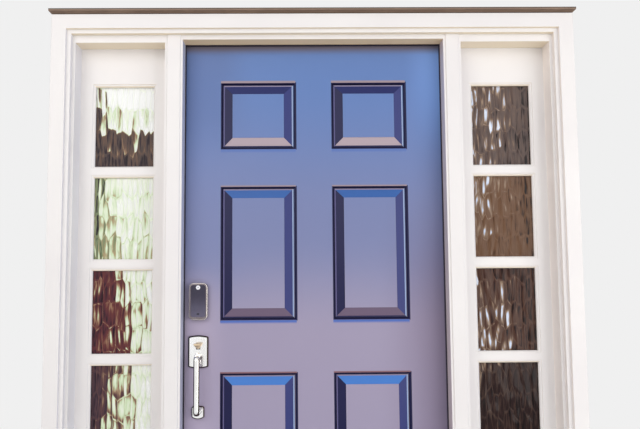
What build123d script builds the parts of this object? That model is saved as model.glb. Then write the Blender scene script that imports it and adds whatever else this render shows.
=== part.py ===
from build123d import *
import math
import os

# A panelled front door between two fixed sidelights, in its own frame.
# Millimetres. X runs to the right seen from outside, Y runs into the house, Z is up.
# The origin is on the underside of the sill, in the middle of the unit,
# on the plane of the jambs' outer edges that the casing is nailed to.

# Door leaf
STILE = 133.0
MULLION = 125.0
PANEL_WIDTH = 261.5
BOTTOM_RAIL = 245.0
BOTTOM_PANEL = 620.5
LOCK_RAIL = 176.5
MIDDLE_PANEL = 461.5
FRIEZE_RAIL = 130.0
TOP_PANEL = 237.5
TOP_RAIL = 142.0
DOOR_THICKNESS = 44.5
LATCH_EDGE_BEVEL = 2.2

# Moulding of a door panel, from the frame inward
OVOLO_RADIUS = 6.0
GROOVE_DEPTH = 10.0
GROOVE_WIDTH = 3.0
LEDGE_WIDTH = 4.0
LEDGE_DEPTH = 7.5
BEVEL_WIDTH = 28.0
FIELD_STEP = 1.5

# Jambs and heads
JAMB_DEPTH = 116.0
JAMB_THICKNESS = 30.2
STOP_HEIGHT = 12.7
DOOR_GAP = 3.2
DOOR_SEAL_GAP = 12.0
SASH_GAP = 0.5
SEAL_CLEARANCE = 0.3
SEAL_PROUD = 3.5
MULL_COVER_WIDTH = 45.0
MULL_COVER_THICKNESS = 4.0
MULL_COVER_EASE = 1.0

# Sill and threshold
SILL_NOSE_HEIGHT = 12.0
SILL_BACK_HEIGHT = 24.0
SILL_PROJECTION = 36.0
DECK_THICKNESS = 1.6
DECK_LIP = 2.0
DECK_DAM_HEIGHT = 12.0
DECK_DAM_THICKNESS = 2.0
THRESHOLD_HEIGHT = 17.0
THRESHOLD_WIDTH = 44.0
THRESHOLD_ROUND = 4.0
DOOR_CLEARANCE = 8.0
SILL_HORN_CLEARANCE = 0.5

# Sidelight sash
LITE_COUNT = 5
GLASS_WIDTH = 204.0
GLASS_HEIGHT = 282.0
GLASS_THICKNESS = 6.0
GLASS_SETBACK = 14.5
GLASS_EDGE_GAP = 0.5
GLASS_BED = 0.3
BEAD_WIDTH = 9.0
BEAD_SETBACK = 3.0
BEAD_OUTER_EDGE = 4.0
MUNTIN = 21.7
SASH_TOP_RAIL = 138.5
SASH_HEAD_DROP = 7.7
SIDELIGHT_OPENING = 306.3

# Casing and drip cap
CASING_BAND = 49.5
CASING_STEP = 14.0
CASING_BAND_DEPTH = 32.0
CASING_STEP_DEPTH = 20.0
CASING_EASE = 1.5
CASING_SIDE_REVEAL = 10.0
CASING_HEAD_REVEAL = 15.5
CAP_NOSE = 12.0
CAP_SET_IN = 4.0
CAP_OVERHANG = 7.5
CAP_UNDERSIDE = 8.0
CAP_NOSE_HEIGHT = 8.0
CAP_RISE = 8.0

# Hinges
HINGE_HEIGHT = 101.6
HINGE_LEAF = 2.8
HINGE_LEAF_WIDTH = 34.0
HINGE_AXIS_SETBACK = 6.6
KNUCKLE_RADIUS = 6.0
KNUCKLE_COUNT = 5
KNUCKLE_GAP = 0.3
PIN_RADIUS = 3.0
PIN_CLEARANCE = 0.06
PIN_HEAD_RADIUS = 5.2
PIN_HEAD_HEIGHT = 3.0
HINGE_TOP_SETBACK = 178.0
HINGE_BOTTOM_SETBACK = 279.0
SCREW_LENGTH = 24.0
SCREW_RADIUS = 2.0
SCREW_HEAD_RADIUS = 4.0
SCREW_HEAD_HEIGHT = 2.2
SCREW_CLEARANCE = 0.1

# Lock bores and latches
BACKSET = 60.0
LATCH_HEIGHT = 959.0
LOCK_SPACING = 139.7
CROSS_BORE_RADIUS = 27.0
EDGE_BORE_RADIUS = 12.8
CASE_RADIUS = 12.6
FACEPLATE_WIDTH = 25.4
FACEPLATE_HEIGHT = 57.0
FACEPLATE_THICKNESS = 2.5
FACEPLATE_FIT = 0.15
CARRIAGE_THICKNESS = 17.0
CARRIAGE_BACK = 22.0
CARRIAGE_REACH = 12.0
HUB_HOLE_RADIUS = 6.4
BOLT_FIT = 0.3
LATCH_RADIUS = 9.2
LATCH_THICKNESS = 12.6
LATCH_PROJECTION = 12.7
LATCH_TAIL = 41.0
LATCH_BEVEL_LAND = 2.0
LATCH_BEVEL_START = 0.5
BOLT_RADIUS = 11.2
BOLT_THICKNESS = 15.0
BOLT_LENGTH = 52.0
STRIKE_THICKNESS = 1.6
LATCH_STRIKE_HEIGHT = 60.0
DEADBOLT_STRIKE_HEIGHT = 70.0
STRIKE_WIDTH = 28.6
STRIKE_HOLE_MARGIN = 1.6
STRIKE_LIP = 5.0
STRIKE_SCREW_EDGE = 9.0
LATCH_POCKET = 16.0
DEADBOLT_POCKET = 29.0

# Outside of the electronic deadbolt
BEZEL_WIDTH = 63.5
BEZEL_HEIGHT = 125.0
BEZEL_DEPTH = 20.0
BEZEL_RADIUS = 15.0
BEZEL_EDGE = 3.0
KEYPAD_RISE = 9.2
FACE_WIDTH = 51.0
FACE_HEIGHT = 108.5
FACE_RADIUS = 9.0
FACE_THICKNESS = 3.0
FACE_RISE = 1.8
FACE_PROUD = 0.8
FACE_FIT = 0.15
DISC_RADIUS = 7.3
DISC_THICKNESS = 1.0
DISC_RISE = 45.4
DISC_HOLE_RADIUS = 1.6
INDICATOR_WIDTH = 9.0
INDICATOR_HEIGHT = 4.0
INDICATOR_DEPTH = 1.0
INDICATOR_DROP = 43.7

# Outside handleset
PLATE_WIDTH = 68.0
PLATE_HEIGHT = 110.5
PLATE_THICKNESS = 10.0
PLATE_DROP = 20.8
PLATE_CORNER = 5.0
PLATE_EDGE = 4.5
PLATE_TOP_CROWN = 5.0
PLATE_BOTTOM_CROWN = 5.0
THUMB_SLOT_WIDTH = 15.0
THUMB_SLOT_HEIGHT = 13.0
THUMB_NECK_WIDTH = 11.0
THUMB_NECK_HEIGHT = 7.0
THUMB_TIP_WIDTH = 24.0
THUMB_TIP_HEIGHT = 7.0
THUMB_LIP = 2.0
THUMB_PIN_RADIUS = 1.6
THUMB_PIN_REACH = 10.0
THUMB_REACH = 30.0
THUMB_RISE = 12.0
THUMB_DROP = 6.0
GRIP_WIDTH = 20.0
GRIP_DEPTH = 13.0
GRIP_REACH = 49.0
GRIP_TOP_DROP = 37.0
GRIP_LENGTH = 186.0
GRIP_BEND = 10.0
GRIP_COLLAR_RADIUS = 13.0
GRIP_COLLAR_HEIGHT = 5.0
FOOT_WIDTH = 42.5
FOOT_HEIGHT = 43.5
FOOT_THICKNESS = 9.0
FOOT_DROP = 223.0
FOOT_CORNER = 6.0
FOOT_CROWN = 7.0
FOOT_EDGE = 3.5

# Inside of the locks
HOUSING_WIDTH = 74.0
HOUSING_HEIGHT = 140.0
HOUSING_DEPTH = 27.0
HOUSING_RADIUS = 14.0
HOUSING_EDGE = 3.0
HOUSING_BELOW_BOLT = 35.0
HOUSING_FLOOR = 4.0
BATTERY_RADIUS = 7.1
BATTERY_LENGTH = 50.0
BATTERY_COUNT = 4
BATTERY_CLEARANCE = 0.3
COVER_THICKNESS = 2.5
COVER_MARGIN = 3.5
COVER_FIT = 0.25
COVER_PROUD = 0.5
THUMBTURN_RADIUS = 15.0
THUMBTURN_BASE = 5.0
THUMBTURN_LENGTH = 40.0
THUMBTURN_WIDTH = 10.0
THUMBTURN_REACH = 17.0
TAILPIECE_WIDTH = 8.0
TAILPIECE_THICKNESS = 3.0
ROSE_RADIUS = 33.0
ROSE_THICKNESS = 10.0
ROSE_EDGE = 4.0
SPINDLE_WIDTH = 7.6
SPINDLE_OVERRUN = 3.0
SHANK_RADIUS = 9.5
SHANK_LENGTH = 42.0
LEVER_LENGTH = 112.0
LEVER_HEIGHT = 18.0
LEVER_DEPTH = 11.0
LEVER_TIP_SCALE = 0.72
LEVER_BOW = 8.0
LEVER_CORNER = 5.0
TURN_FIT = 0.3
LOCK_SCREW_RADIUS = 2.0
LOCK_SCREW_HEAD_RADIUS = 3.8
LOCK_SCREW_HEAD_HEIGHT = 2.4
LOCK_SCREW_OFFSET = 20.5
LOCK_SCREW_BITE = 5.0

# Places worked out from the sizes above
DOOR_WIDTH = 2 * STILE + MULLION + 2 * PANEL_WIDTH
DOOR_HEIGHT = (BOTTOM_RAIL + BOTTOM_PANEL + LOCK_RAIL + MIDDLE_PANEL
               + FRIEZE_RAIL + TOP_PANEL + TOP_RAIL)
DOOR_HALF = DOOR_WIDTH / 2
DOOR_FACE = JAMB_DEPTH - DOOR_THICKNESS
DOOR_SHOULDER = DOOR_FACE - DOOR_SEAL_GAP
DOOR_MID = (DOOR_FACE + JAMB_DEPTH) / 2
THRESHOLD_TOP = SILL_BACK_HEIGHT + THRESHOLD_HEIGHT
DOOR_BOTTOM = THRESHOLD_TOP + DOOR_CLEARANCE
DOOR_TOP = DOOR_BOTTOM + DOOR_HEIGHT
RABBET_X = DOOR_HALF + DOOR_GAP
STOP_X = RABBET_X - STOP_HEIGHT
MULL_X = STOP_X + JAMB_THICKNESS
SIDE_STOP_X = MULL_X + JAMB_THICKNESS
SIDE_RABBET_X = SIDE_STOP_X - STOP_HEIGHT
OUTER_STOP_X = SIDE_STOP_X + SIDELIGHT_OPENING
OUTER_RABBET_X = OUTER_STOP_X + STOP_HEIGHT
UNIT_HALF = OUTER_STOP_X + JAMB_THICKNESS
HEAD_RABBET_Z = DOOR_TOP + DOOR_GAP
HEAD_STOP_Z = HEAD_RABBET_Z - STOP_HEIGHT
HEAD_TOP = HEAD_STOP_Z + JAMB_THICKNESS
LITE_WIDTH = GLASS_WIDTH + 2 * BEAD_WIDTH
LITE_HEIGHT = GLASS_HEIGHT + 2 * BEAD_WIDTH
LITE_PITCH = LITE_HEIGHT + MUNTIN
LITES_HEIGHT = LITE_COUNT * LITE_PITCH - MUNTIN
SASH_BOTTOM = DOOR_BOTTOM
SASH_TOP = DOOR_TOP - SASH_HEAD_DROP
SASH_BOTTOM_RAIL = SASH_TOP - SASH_BOTTOM - SASH_TOP_RAIL - LITES_HEIGHT
SASH_INNER_X = SIDE_RABBET_X + SASH_GAP
SASH_OUTER_X = OUTER_RABBET_X - SASH_GAP
SASH_MID_X = (SASH_INNER_X + SASH_OUTER_X) / 2
SIDE_HEAD_RABBET_Z = SASH_TOP + SASH_GAP
SIDE_HEAD_STOP_Z = SIDE_HEAD_RABBET_Z - STOP_HEIGHT
CASING_WIDTH = CASING_BAND + CASING_STEP
CASING_X = OUTER_STOP_X + CASING_SIDE_REVEAL
CASING_Z = HEAD_STOP_Z + CASING_HEAD_REVEAL
LOCK_X = -DOOR_HALF + BACKSET
LATCH_Z = DOOR_BOTTOM + LATCH_HEIGHT
DEADBOLT_Z = LATCH_Z + LOCK_SPACING
HINGE_X = DOOR_HALF + DOOR_GAP / 2
HINGE_Y = JAMB_DEPTH + HINGE_AXIS_SETBACK
HINGE_TOP_Z = DOOR_TOP - HINGE_TOP_SETBACK - HINGE_HEIGHT / 2
HINGE_BOTTOM_Z = DOOR_BOTTOM + HINGE_BOTTOM_SETBACK + HINGE_HEIGHT / 2
HINGE_LEVELS = (HINGE_BOTTOM_Z, (HINGE_BOTTOM_Z + HINGE_TOP_Z) / 2, HINGE_TOP_Z)
SIDES = ("left", "right")


# Helpers for plain profiles

def along_x(points, start, end):
    """A prism of (Y, Z) points between two places on X."""
    face = make_face(Plane.YZ * Polyline(*points, close=True))
    return Pos(start, 0, 0) * extrude(face, end - start, dir=(1, 0, 0))


def along_y(points, start, end):
    """A prism of (X, Z) points between two places on Y."""
    face = make_face(Plane.XZ * Polyline(*points, close=True))
    return Pos(0, start, 0) * extrude(face, end - start, dir=(0, 1, 0))


def along_z(points, start, end):
    """A prism of (X, Y) points between two places on Z."""
    face = make_face(Polyline(*points, close=True))
    return Pos(0, 0, start) * extrude(face, end - start, dir=(0, 0, 1))


def rectangle(low_u, high_u, low_v, high_v):
    """The four corners of a rectangle in a profile's own plane."""
    return [(low_u, low_v), (high_u, low_v), (high_u, high_v), (low_u, high_v)]


def rod_y(x, z, radius, start, end):
    """A round bar along Y between two places."""
    return Pos(x, start, z) * extrude(Plane.XZ * Circle(radius), end - start, dir=(0, 1, 0))


def rod_x(y, z, radius, start, end):
    """A round bar along X between two places."""
    return Pos(start, y, z) * extrude(Plane.YZ * Circle(radius), end - start, dir=(1, 0, 0))


def sketch_y(sketch, x, z, start, end):
    """A sketch drawn in X and Z, extruded between two places on Y."""
    return Pos(x, start, z) * extrude(Plane.XZ * sketch, end - start, dir=(0, 1, 0))


def front_edges(part):
    """The edges round the face that lies furthest outside."""
    return part.faces().sort_by(Axis.Y)[0].edges()


def back_edges(part):
    """The edges round the face that lies furthest inside."""
    return part.faces().sort_by(Axis.Y)[-1].edges()


def side_pair(part):
    """A part made on the right with its mirrored partner on the left."""
    return {"right": part, "left": mirror(part, about=Plane.YZ)}


def mitred_strip(section, length, width):
    """A strip along X, inward along Y, with both ends cut at 45 degrees."""
    bar = extrude(Plane.YZ * section, length / 2, both=True)
    outline = Polyline((-length / 2, 0), (length / 2, 0),
                       (length / 2 - width, width), (-length / 2 + width, width), close=True)
    return bar & extrude(make_face(outline), length, both=True)


def mitred_ring(section, width, across, up):
    """Four mitred strips round a rectangle in the XY plane, with their sections inward."""
    strips = []
    for angle, length, offset in ((0, across, up / 2), (90, up, across / 2),
                                  (180, across, up / 2), (270, up, across / 2)):
        strips.append(Rot(0, 0, angle) * Pos(0, -offset, 0) * mitred_strip(section, length, width))
    return strips


def outside_plane(x, y, z):
    """A plane on an outside face: local X is right, local Y is up, local Z is outward."""
    return Plane(origin=(x, y, z), x_dir=(1, 0, 0), z_dir=(0, -1, 0))


def inside_plane(x, y, z):
    """A plane on an inside face, seen from inside the house."""
    return Plane(origin=(x, y, z), x_dir=(-1, 0, 0), z_dir=(0, 1, 0))


# Sill

def sill_base():
    """The composite base under the whole unit, notched at both ends round the casing."""
    base = along_x([(-SILL_PROJECTION, 0), (JAMB_DEPTH, 0), (JAMB_DEPTH, SILL_BACK_HEIGHT),
                    (DOOR_SHOULDER, SILL_BACK_HEIGHT), (-SILL_PROJECTION, SILL_NOSE_HEIGHT)],
                   -OUTER_RABBET_X, OUTER_RABBET_X)
    return base - sill_horns()


def sill_horns():
    """What is cut from the ends of the sill where the casing's legs stand."""
    inner = CASING_X - SILL_HORN_CLEARANCE
    front = -SILL_PROJECTION - CASING_BAND_DEPTH
    horn = along_z(rectangle(inner, UNIT_HALF, front, 0), 0, SILL_BACK_HEIGHT + DECK_DAM_HEIGHT)
    return side_pair(horn).values()


def deck_top(y):
    """The height of the deck's upper face at a place on its slope."""
    slope = (SILL_BACK_HEIGHT - SILL_NOSE_HEIGHT) / (DOOR_SHOULDER + SILL_PROJECTION)
    return SILL_NOSE_HEIGHT + slope * (y + SILL_PROJECTION) + DECK_THICKNESS


def sill_deck():
    """The folded metal deck: front lip, slope and the dam that the threshold stands behind."""
    front = -SILL_PROJECTION - DECK_THICKNESS
    dam_front = DOOR_SHOULDER - DECK_DAM_THICKNESS
    dam_top = SILL_BACK_HEIGHT + DECK_DAM_HEIGHT
    deck = along_x([(front, DECK_LIP), (-SILL_PROJECTION, DECK_LIP), (-SILL_PROJECTION, SILL_NOSE_HEIGHT),
                    (DOOR_SHOULDER, SILL_BACK_HEIGHT), (DOOR_SHOULDER, dam_top), (dam_front, dam_top),
                    (dam_front, deck_top(dam_front)), (front, deck_top(front))],
                   -OUTER_RABBET_X, OUTER_RABBET_X)
    return deck - sill_horns()


def threshold_cap():
    """The threshold that the door closes over, between the door's jambs."""
    end = RABBET_X - SEAL_CLEARANCE
    face = make_face(Plane.YZ * Polyline(
        *rectangle(DOOR_SHOULDER + SEAL_CLEARANCE, DOOR_SHOULDER + THRESHOLD_WIDTH,
                   SILL_BACK_HEIGHT, THRESHOLD_TOP), close=True))
    rounded = fillet(face.vertices().sort_by(Axis.Z)[-2:], THRESHOLD_ROUND)
    return Pos(-end, 0, 0) * extrude(rounded, 2 * end, dir=(1, 0, 0))


# Jambs, heads and posts

def door_jamb():
    """The right jamb of the door, rabbeted for the door and its seal, standing on the sill."""
    outline = [(STOP_X, 0), (MULL_X, 0), (MULL_X, JAMB_DEPTH), (RABBET_X, JAMB_DEPTH),
               (RABBET_X, DOOR_SHOULDER), (STOP_X, DOOR_SHOULDER)]
    return along_z(outline, 0, HEAD_TOP)


def mull_jamb():
    """The sidelight's jamb that is screwed to the back of the door's jamb."""
    outline = [(MULL_X, 0), (SIDE_STOP_X, 0), (SIDE_STOP_X, DOOR_FACE), (SIDE_RABBET_X, DOOR_FACE),
               (SIDE_RABBET_X, JAMB_DEPTH), (MULL_X, JAMB_DEPTH)]
    return along_z(outline, 0, HEAD_TOP)


def side_jamb():
    """The outer jamb of the right sidelight."""
    outline = [(OUTER_STOP_X, 0), (UNIT_HALF, 0), (UNIT_HALF, JAMB_DEPTH), (OUTER_RABBET_X, JAMB_DEPTH),
               (OUTER_RABBET_X, DOOR_FACE), (OUTER_STOP_X, DOOR_FACE)]
    return along_z(outline, 0, HEAD_TOP)


def door_head():
    """The door's head jamb, fitted between the two door jambs."""
    stop = along_x(rectangle(0, DOOR_SHOULDER, HEAD_STOP_Z, HEAD_TOP), -STOP_X, STOP_X)
    back = along_x(rectangle(DOOR_SHOULDER, JAMB_DEPTH, HEAD_RABBET_Z, HEAD_TOP), -RABBET_X, RABBET_X)
    return stop + back


def sidelight_head():
    """The thicker head over the right sidelight."""
    stop = along_x(rectangle(0, DOOR_FACE, SIDE_HEAD_STOP_Z, HEAD_TOP), SIDE_STOP_X, OUTER_STOP_X)
    back = along_x(rectangle(DOOR_FACE, JAMB_DEPTH, SIDE_HEAD_RABBET_Z, HEAD_TOP),
                   SIDE_RABBET_X, OUTER_RABBET_X)
    return stop + back


def sidelight_base(sill):
    """The rabbeted member that closes the right sidelight on the sill."""
    stop = along_x(rectangle(0, DOOR_FACE, 0, SASH_BOTTOM + STOP_HEIGHT), SIDE_STOP_X, OUTER_STOP_X)
    back = along_x(rectangle(DOOR_FACE, JAMB_DEPTH, 0, SASH_BOTTOM), SIDE_RABBET_X, OUTER_RABBET_X)
    return stop + back - sill


def mull_cover(sill):
    """The flat strip over the joint of the right post, up to the head casing."""
    half = MULL_COVER_WIDTH / 2
    strip = along_z(rectangle(MULL_X - half, MULL_X + half, -MULL_COVER_THICKNESS, 0), 0, CASING_Z)
    long_edges = front_edges(strip).filter_by(Axis.Z)
    return chamfer(long_edges, MULL_COVER_EASE) - sill


def weatherstrip():
    """Soft strips behind the stops, standing a little past them, just clear of the closed door's face."""
    depth = (DOOR_SHOULDER, DOOR_FACE - SEAL_CLEARANCE)
    head_low = HEAD_STOP_Z - SEAL_PROUD
    head = along_x(rectangle(*depth, head_low, HEAD_RABBET_Z), -RABBET_X, RABBET_X)
    leg = along_z(rectangle(STOP_X - SEAL_PROUD, RABBET_X, *depth), THRESHOLD_TOP, head_low)
    bulb_radius = DOOR_SEAL_GAP / 3
    head = fillet(back_edges(head).filter_by(Axis.X).sort_by(Axis.Z)[0], bulb_radius)
    leg = fillet(back_edges(leg).filter_by(Axis.Z).sort_by(Axis.X)[0], bulb_radius)
    return Compound([head.solid(), leg.solid(), mirror(leg, about=Plane.YZ).solid()])


# Casing and drip cap

def casing_section():
    """The casing's stepped section: local X runs outward from the inner edge, local Y is its depth."""
    outline = Polyline((0, 0), (0, CASING_STEP_DEPTH), (CASING_STEP, CASING_STEP_DEPTH),
                       (CASING_STEP, CASING_BAND_DEPTH), (CASING_WIDTH, CASING_BAND_DEPTH),
                       (CASING_WIDTH, 0), close=True)
    face = make_face(outline)
    crests = [v for v in face.vertices() if v.Y > CASING_STEP_DEPTH - 1 and v.X != CASING_STEP]
    crests += [v for v in face.vertices() if v.X == CASING_STEP and v.Y == CASING_BAND_DEPTH]
    return fillet(crests, CASING_EASE)


def casing_leg():
    """The right casing leg, mitred at the head."""
    top = CASING_Z + CASING_WIDTH
    section = Plane(origin=(CASING_X, 0, 0), x_dir=(1, 0, 0), z_dir=(0, 0, -1)) * casing_section()
    leg = extrude(section, top, dir=(0, 0, 1))
    above = [(CASING_X, CASING_Z), (CASING_X + CASING_WIDTH, top), (CASING_X, top)]
    return leg - along_y(above, -2 * CASING_BAND_DEPTH, 1)


def casing_head():
    """The head casing between the two mitres."""
    end = CASING_X + CASING_WIDTH
    top = CASING_Z + CASING_WIDTH
    section = Plane(origin=(-end, 0, CASING_Z), x_dir=(0, 0, 1), z_dir=(1, 0, 0)) * casing_section()
    bar = extrude(section, 2 * end, dir=(1, 0, 0))
    below = [(CASING_X, CASING_Z), (end, CASING_Z), (end, top)]
    cutter = along_y(below, -2 * CASING_BAND_DEPTH, 1)
    return bar - list(side_pair(cutter).values())


def drip_cap():
    """The metal-clad drip cap, with a cove under its nose and returned ends."""
    low = CASING_Z + CASING_WIDTH
    nose_low = low + CAP_UNDERSIDE
    nose_high = nose_low + CAP_NOSE_HEIGHT
    high = nose_high + CAP_RISE
    seat = CASING_BAND_DEPTH - CAP_SET_IN
    nose = CASING_BAND_DEPTH + CAP_NOSE
    side = CASING_X + CASING_WIDTH
    front_cove = ThreePointArc((-seat, low), (-seat - 0.3 * (nose - seat), low + 0.7 * CAP_UNDERSIDE),
                               (-nose, nose_low))
    front_lines = Polyline((-nose, nose_low), (-nose, nose_high), (0, high), (0, low), (-seat, low))
    section = make_face(Plane.YZ * Curve([*front_cove.edges(), *front_lines.edges()]))
    end_low = side - CAP_SET_IN
    end_high = side + CAP_OVERHANG
    bar = Pos(-end_high, 0, 0) * extrude(section, 2 * end_high, dir=(1, 0, 0))
    returns = [(-end_low, low), (end_low, low), (end_high, nose_low), (end_high, nose_high),
               (end_high - nose, high), (nose - end_high, high), (-end_high, nose_high),
               (-end_high, nose_low)]
    return bar & along_y(returns, -nose, 0)


# Sidelight sash

def lite_levels():
    """The middle height of each lite, from the bottom one up."""
    first = SASH_BOTTOM + SASH_BOTTOM_RAIL + LITE_HEIGHT / 2
    return [first + number * LITE_PITCH for number in range(LITE_COUNT)]


def sash_stiles():
    """The two stiles of the right sash."""
    depth = (DOOR_FACE, JAMB_DEPTH)
    inner = along_z(rectangle(SASH_INNER_X, SASH_MID_X - LITE_WIDTH / 2, *depth), SASH_BOTTOM, SASH_TOP)
    outer = along_z(rectangle(SASH_MID_X + LITE_WIDTH / 2, SASH_OUTER_X, *depth), SASH_BOTTOM, SASH_TOP)
    return Compound([inner.solid(), outer.solid()])


def sash_bar(low, high):
    """A rail or muntin across the right sash, between its stiles."""
    return along_x(rectangle(DOOR_FACE, JAMB_DEPTH, low, high),
                   SASH_MID_X - LITE_WIDTH / 2, SASH_MID_X + LITE_WIDTH / 2).solid()


def sash_rails():
    """The bottom and top rails of the right sash."""
    return Compound([sash_bar(SASH_BOTTOM, SASH_BOTTOM + SASH_BOTTOM_RAIL),
                     sash_bar(SASH_TOP - SASH_TOP_RAIL, SASH_TOP)])


def sash_muntins():
    """The bars between the lites of the right sash."""
    bars = []
    for level in lite_levels()[:-1]:
        low = level + LITE_HEIGHT / 2
        bars.append(sash_bar(low, low + MUNTIN))
    return Compound(bars)


def bead_section(depth):
    """A bead's section: local X is inward, local Y is outward from the glass."""
    top = depth - BEAD_SETBACK
    return make_face(Polyline((0, 0), (BEAD_WIDTH, 0), (BEAD_WIDTH, top - BEAD_OUTER_EDGE),
                              (BEAD_WIDTH / 2, top), (0, top), close=True))


def glazing_beads():
    """A mitred bead round each lite on both faces of the glass."""
    outside_depth = GLASS_SETBACK - GLASS_BED
    inside_depth = DOOR_THICKNESS - GLASS_SETBACK - GLASS_THICKNESS - GLASS_BED
    glass_back = DOOR_FACE + GLASS_SETBACK + GLASS_THICKNESS + GLASS_BED
    rings = []
    for level in lite_levels():
        faces = ((outside_plane(SASH_MID_X, DOOR_FACE + outside_depth, level), outside_depth),
                 (inside_plane(SASH_MID_X, glass_back, level), inside_depth))
        for plane, depth in faces:
            strips = mitred_ring(bead_section(depth), BEAD_WIDTH, LITE_WIDTH, LITE_HEIGHT)
            rings.append((plane * (strips[0] + strips[1:])).solid())
    return Compound(rings)


def glass_panes():
    """The five panes of the right sash, bedded between their beads."""
    start = DOOR_FACE + GLASS_SETBACK
    half = LITE_WIDTH / 2 - GLASS_EDGE_GAP
    panes = []
    for level in lite_levels():
        reach = LITE_HEIGHT / 2 - GLASS_EDGE_GAP
        corners = rectangle(SASH_MID_X - half, SASH_MID_X + half, level - reach, level + reach)
        panes.append(along_y(corners, start, start + GLASS_THICKNESS).solid())
    return Compound(panes)


# Door leaf

def panel_section():
    """What is cut away round a raised panel: ovolo, groove, ledge and wide bevel."""
    groove = OVOLO_RADIUS + GROOVE_WIDTH
    ledge = groove + LEDGE_WIDTH
    field = ledge + BEVEL_WIDTH
    half_chord = OVOLO_RADIUS * math.sqrt(0.5)
    ovolo = ThreePointArc((0, 0), (half_chord, half_chord - OVOLO_RADIUS), (OVOLO_RADIUS, -OVOLO_RADIUS))
    rest = Polyline((OVOLO_RADIUS, -OVOLO_RADIUS), (OVOLO_RADIUS, -GROOVE_DEPTH), (groove, -GROOVE_DEPTH),
                    (groove, -LEDGE_DEPTH), (ledge, -LEDGE_DEPTH), (field, -FIELD_STEP), (field, 1),
                    (0, 1), (0, 0))
    return make_face(Curve([*ovolo.edges(), *rest.edges()]))


def panel_places():
    """The middle and height of each of the six panels."""
    column = (MULLION + PANEL_WIDTH) / 2
    low = DOOR_BOTTOM + BOTTOM_RAIL
    places = []
    for height, rail in ((BOTTOM_PANEL, LOCK_RAIL), (MIDDLE_PANEL, FRIEZE_RAIL), (TOP_PANEL, TOP_RAIL)):
        for x in (-column, column):
            places.append((x, low + height / 2, height))
        low += height + rail
    return places


def door_slab():
    """The moulded slab with six raised panels on each face and a bevelled latch edge."""
    outline = [(-DOOR_HALF + LATCH_EDGE_BEVEL, DOOR_FACE), (DOOR_HALF, DOOR_FACE),
               (DOOR_HALF, JAMB_DEPTH), (-DOOR_HALF, JAMB_DEPTH)]
    slab = along_z(outline, DOOR_BOTTOM, DOOR_TOP)
    section = panel_section()
    width = OVOLO_RADIUS + GROOVE_WIDTH + LEDGE_WIDTH + BEVEL_WIDTH
    cuts = []
    for x, z, height in panel_places():
        ring = mitred_ring(section, width, PANEL_WIDTH, height)
        for plane in (outside_plane(x, DOOR_FACE, z), inside_plane(x, JAMB_DEPTH, z)):
            cuts += [plane * strip for strip in ring]
    return slab - cuts


def door_sweep():
    """The seal under the door: a carrier with three fins just above the threshold."""
    fin_low = THRESHOLD_TOP + SEAL_CLEARANCE
    carrier = DOOR_CLEARANCE / 3
    front = DOOR_FACE + DOOR_CLEARANCE / 2
    back = JAMB_DEPTH - DOOR_CLEARANCE / 2
    fin = carrier / 2
    middle = (front + back) / 2
    outline = [(front, fin_low), (front + fin, fin_low), (front + fin, DOOR_BOTTOM - carrier),
               (middle - fin / 2, DOOR_BOTTOM - carrier), (middle - fin / 2, fin_low),
               (middle + fin / 2, fin_low), (middle + fin / 2, DOOR_BOTTOM - carrier),
               (back - fin, DOOR_BOTTOM - carrier), (back - fin, fin_low), (back, fin_low),
               (back, DOOR_BOTTOM), (front, DOOR_BOTTOM)]
    end = DOOR_HALF - DOOR_GAP
    return along_x(outline, -end, end)


# Hinges

def knuckle_span(number):
    """The lowest and highest place of one knuckle, from the hinge's own middle."""
    pitch = HINGE_HEIGHT / KNUCKLE_COUNT
    low = -HINGE_HEIGHT / 2 + number * pitch
    return low + KNUCKLE_GAP / 2, low + pitch - KNUCKLE_GAP / 2


def hinge_leaf(first_knuckle, face_x, leaf_direction):
    """A mortised leaf with every second knuckle wrapped round the pin."""
    far_x = face_x + leaf_direction * HINGE_LEAF
    low_x, high_x = min(face_x, far_x), max(face_x, far_x)
    half = HINGE_HEIGHT / 2
    leaf_front = JAMB_DEPTH - HINGE_LEAF_WIDTH
    leaf = along_z(rectangle(low_x, high_x, leaf_front, JAMB_DEPTH), -half, half)
    for number in range(first_knuckle, KNUCKLE_COUNT, 2):
        low, high = knuckle_span(number)
        leaf += Pos(HINGE_X, HINGE_Y, low) * extrude(Circle(KNUCKLE_RADIUS), high - low)
        leaf += along_z(rectangle(low_x, high_x, JAMB_DEPTH, HINGE_Y), low, high)
    hole = Pos(HINGE_X, HINGE_Y, -half) * extrude(Circle(PIN_RADIUS + PIN_CLEARANCE), HINGE_HEIGHT)
    return leaf - hole


def hinge_screw_places(face_x):
    """Four screw places for each hinge, in a zigzag on its leaf."""
    places = []
    column = HINGE_LEAF_WIDTH / 4
    for level in HINGE_LEVELS:
        for row in range(4):
            y = JAMB_DEPTH - HINGE_LEAF_WIDTH / 2 + (column if row % 2 else -column)
            places.append((face_x, y, level + (row - 1.5) * HINGE_HEIGHT / 4.6))
    return places


def screw(direction, grow=0.0):
    """A countersunk wood screw along X with its head's face at the origin."""
    head = SCREW_HEAD_RADIUS + grow
    shank = SCREW_RADIUS + grow
    tip = SCREW_LENGTH + grow
    outline = Polyline((0, 0), (0, head), (SCREW_HEAD_HEIGHT, shank), (0.8 * tip, shank), (tip, 0),
                       close=True)
    body = revolve(make_face(outline), Axis.X)
    return body if direction > 0 else Rot(0, 180, 0) * body


def screws_at(places, direction, grow=0.0):
    """A group of equal screws."""
    return [Pos(*place) * screw(direction, grow) for place in places]


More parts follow.
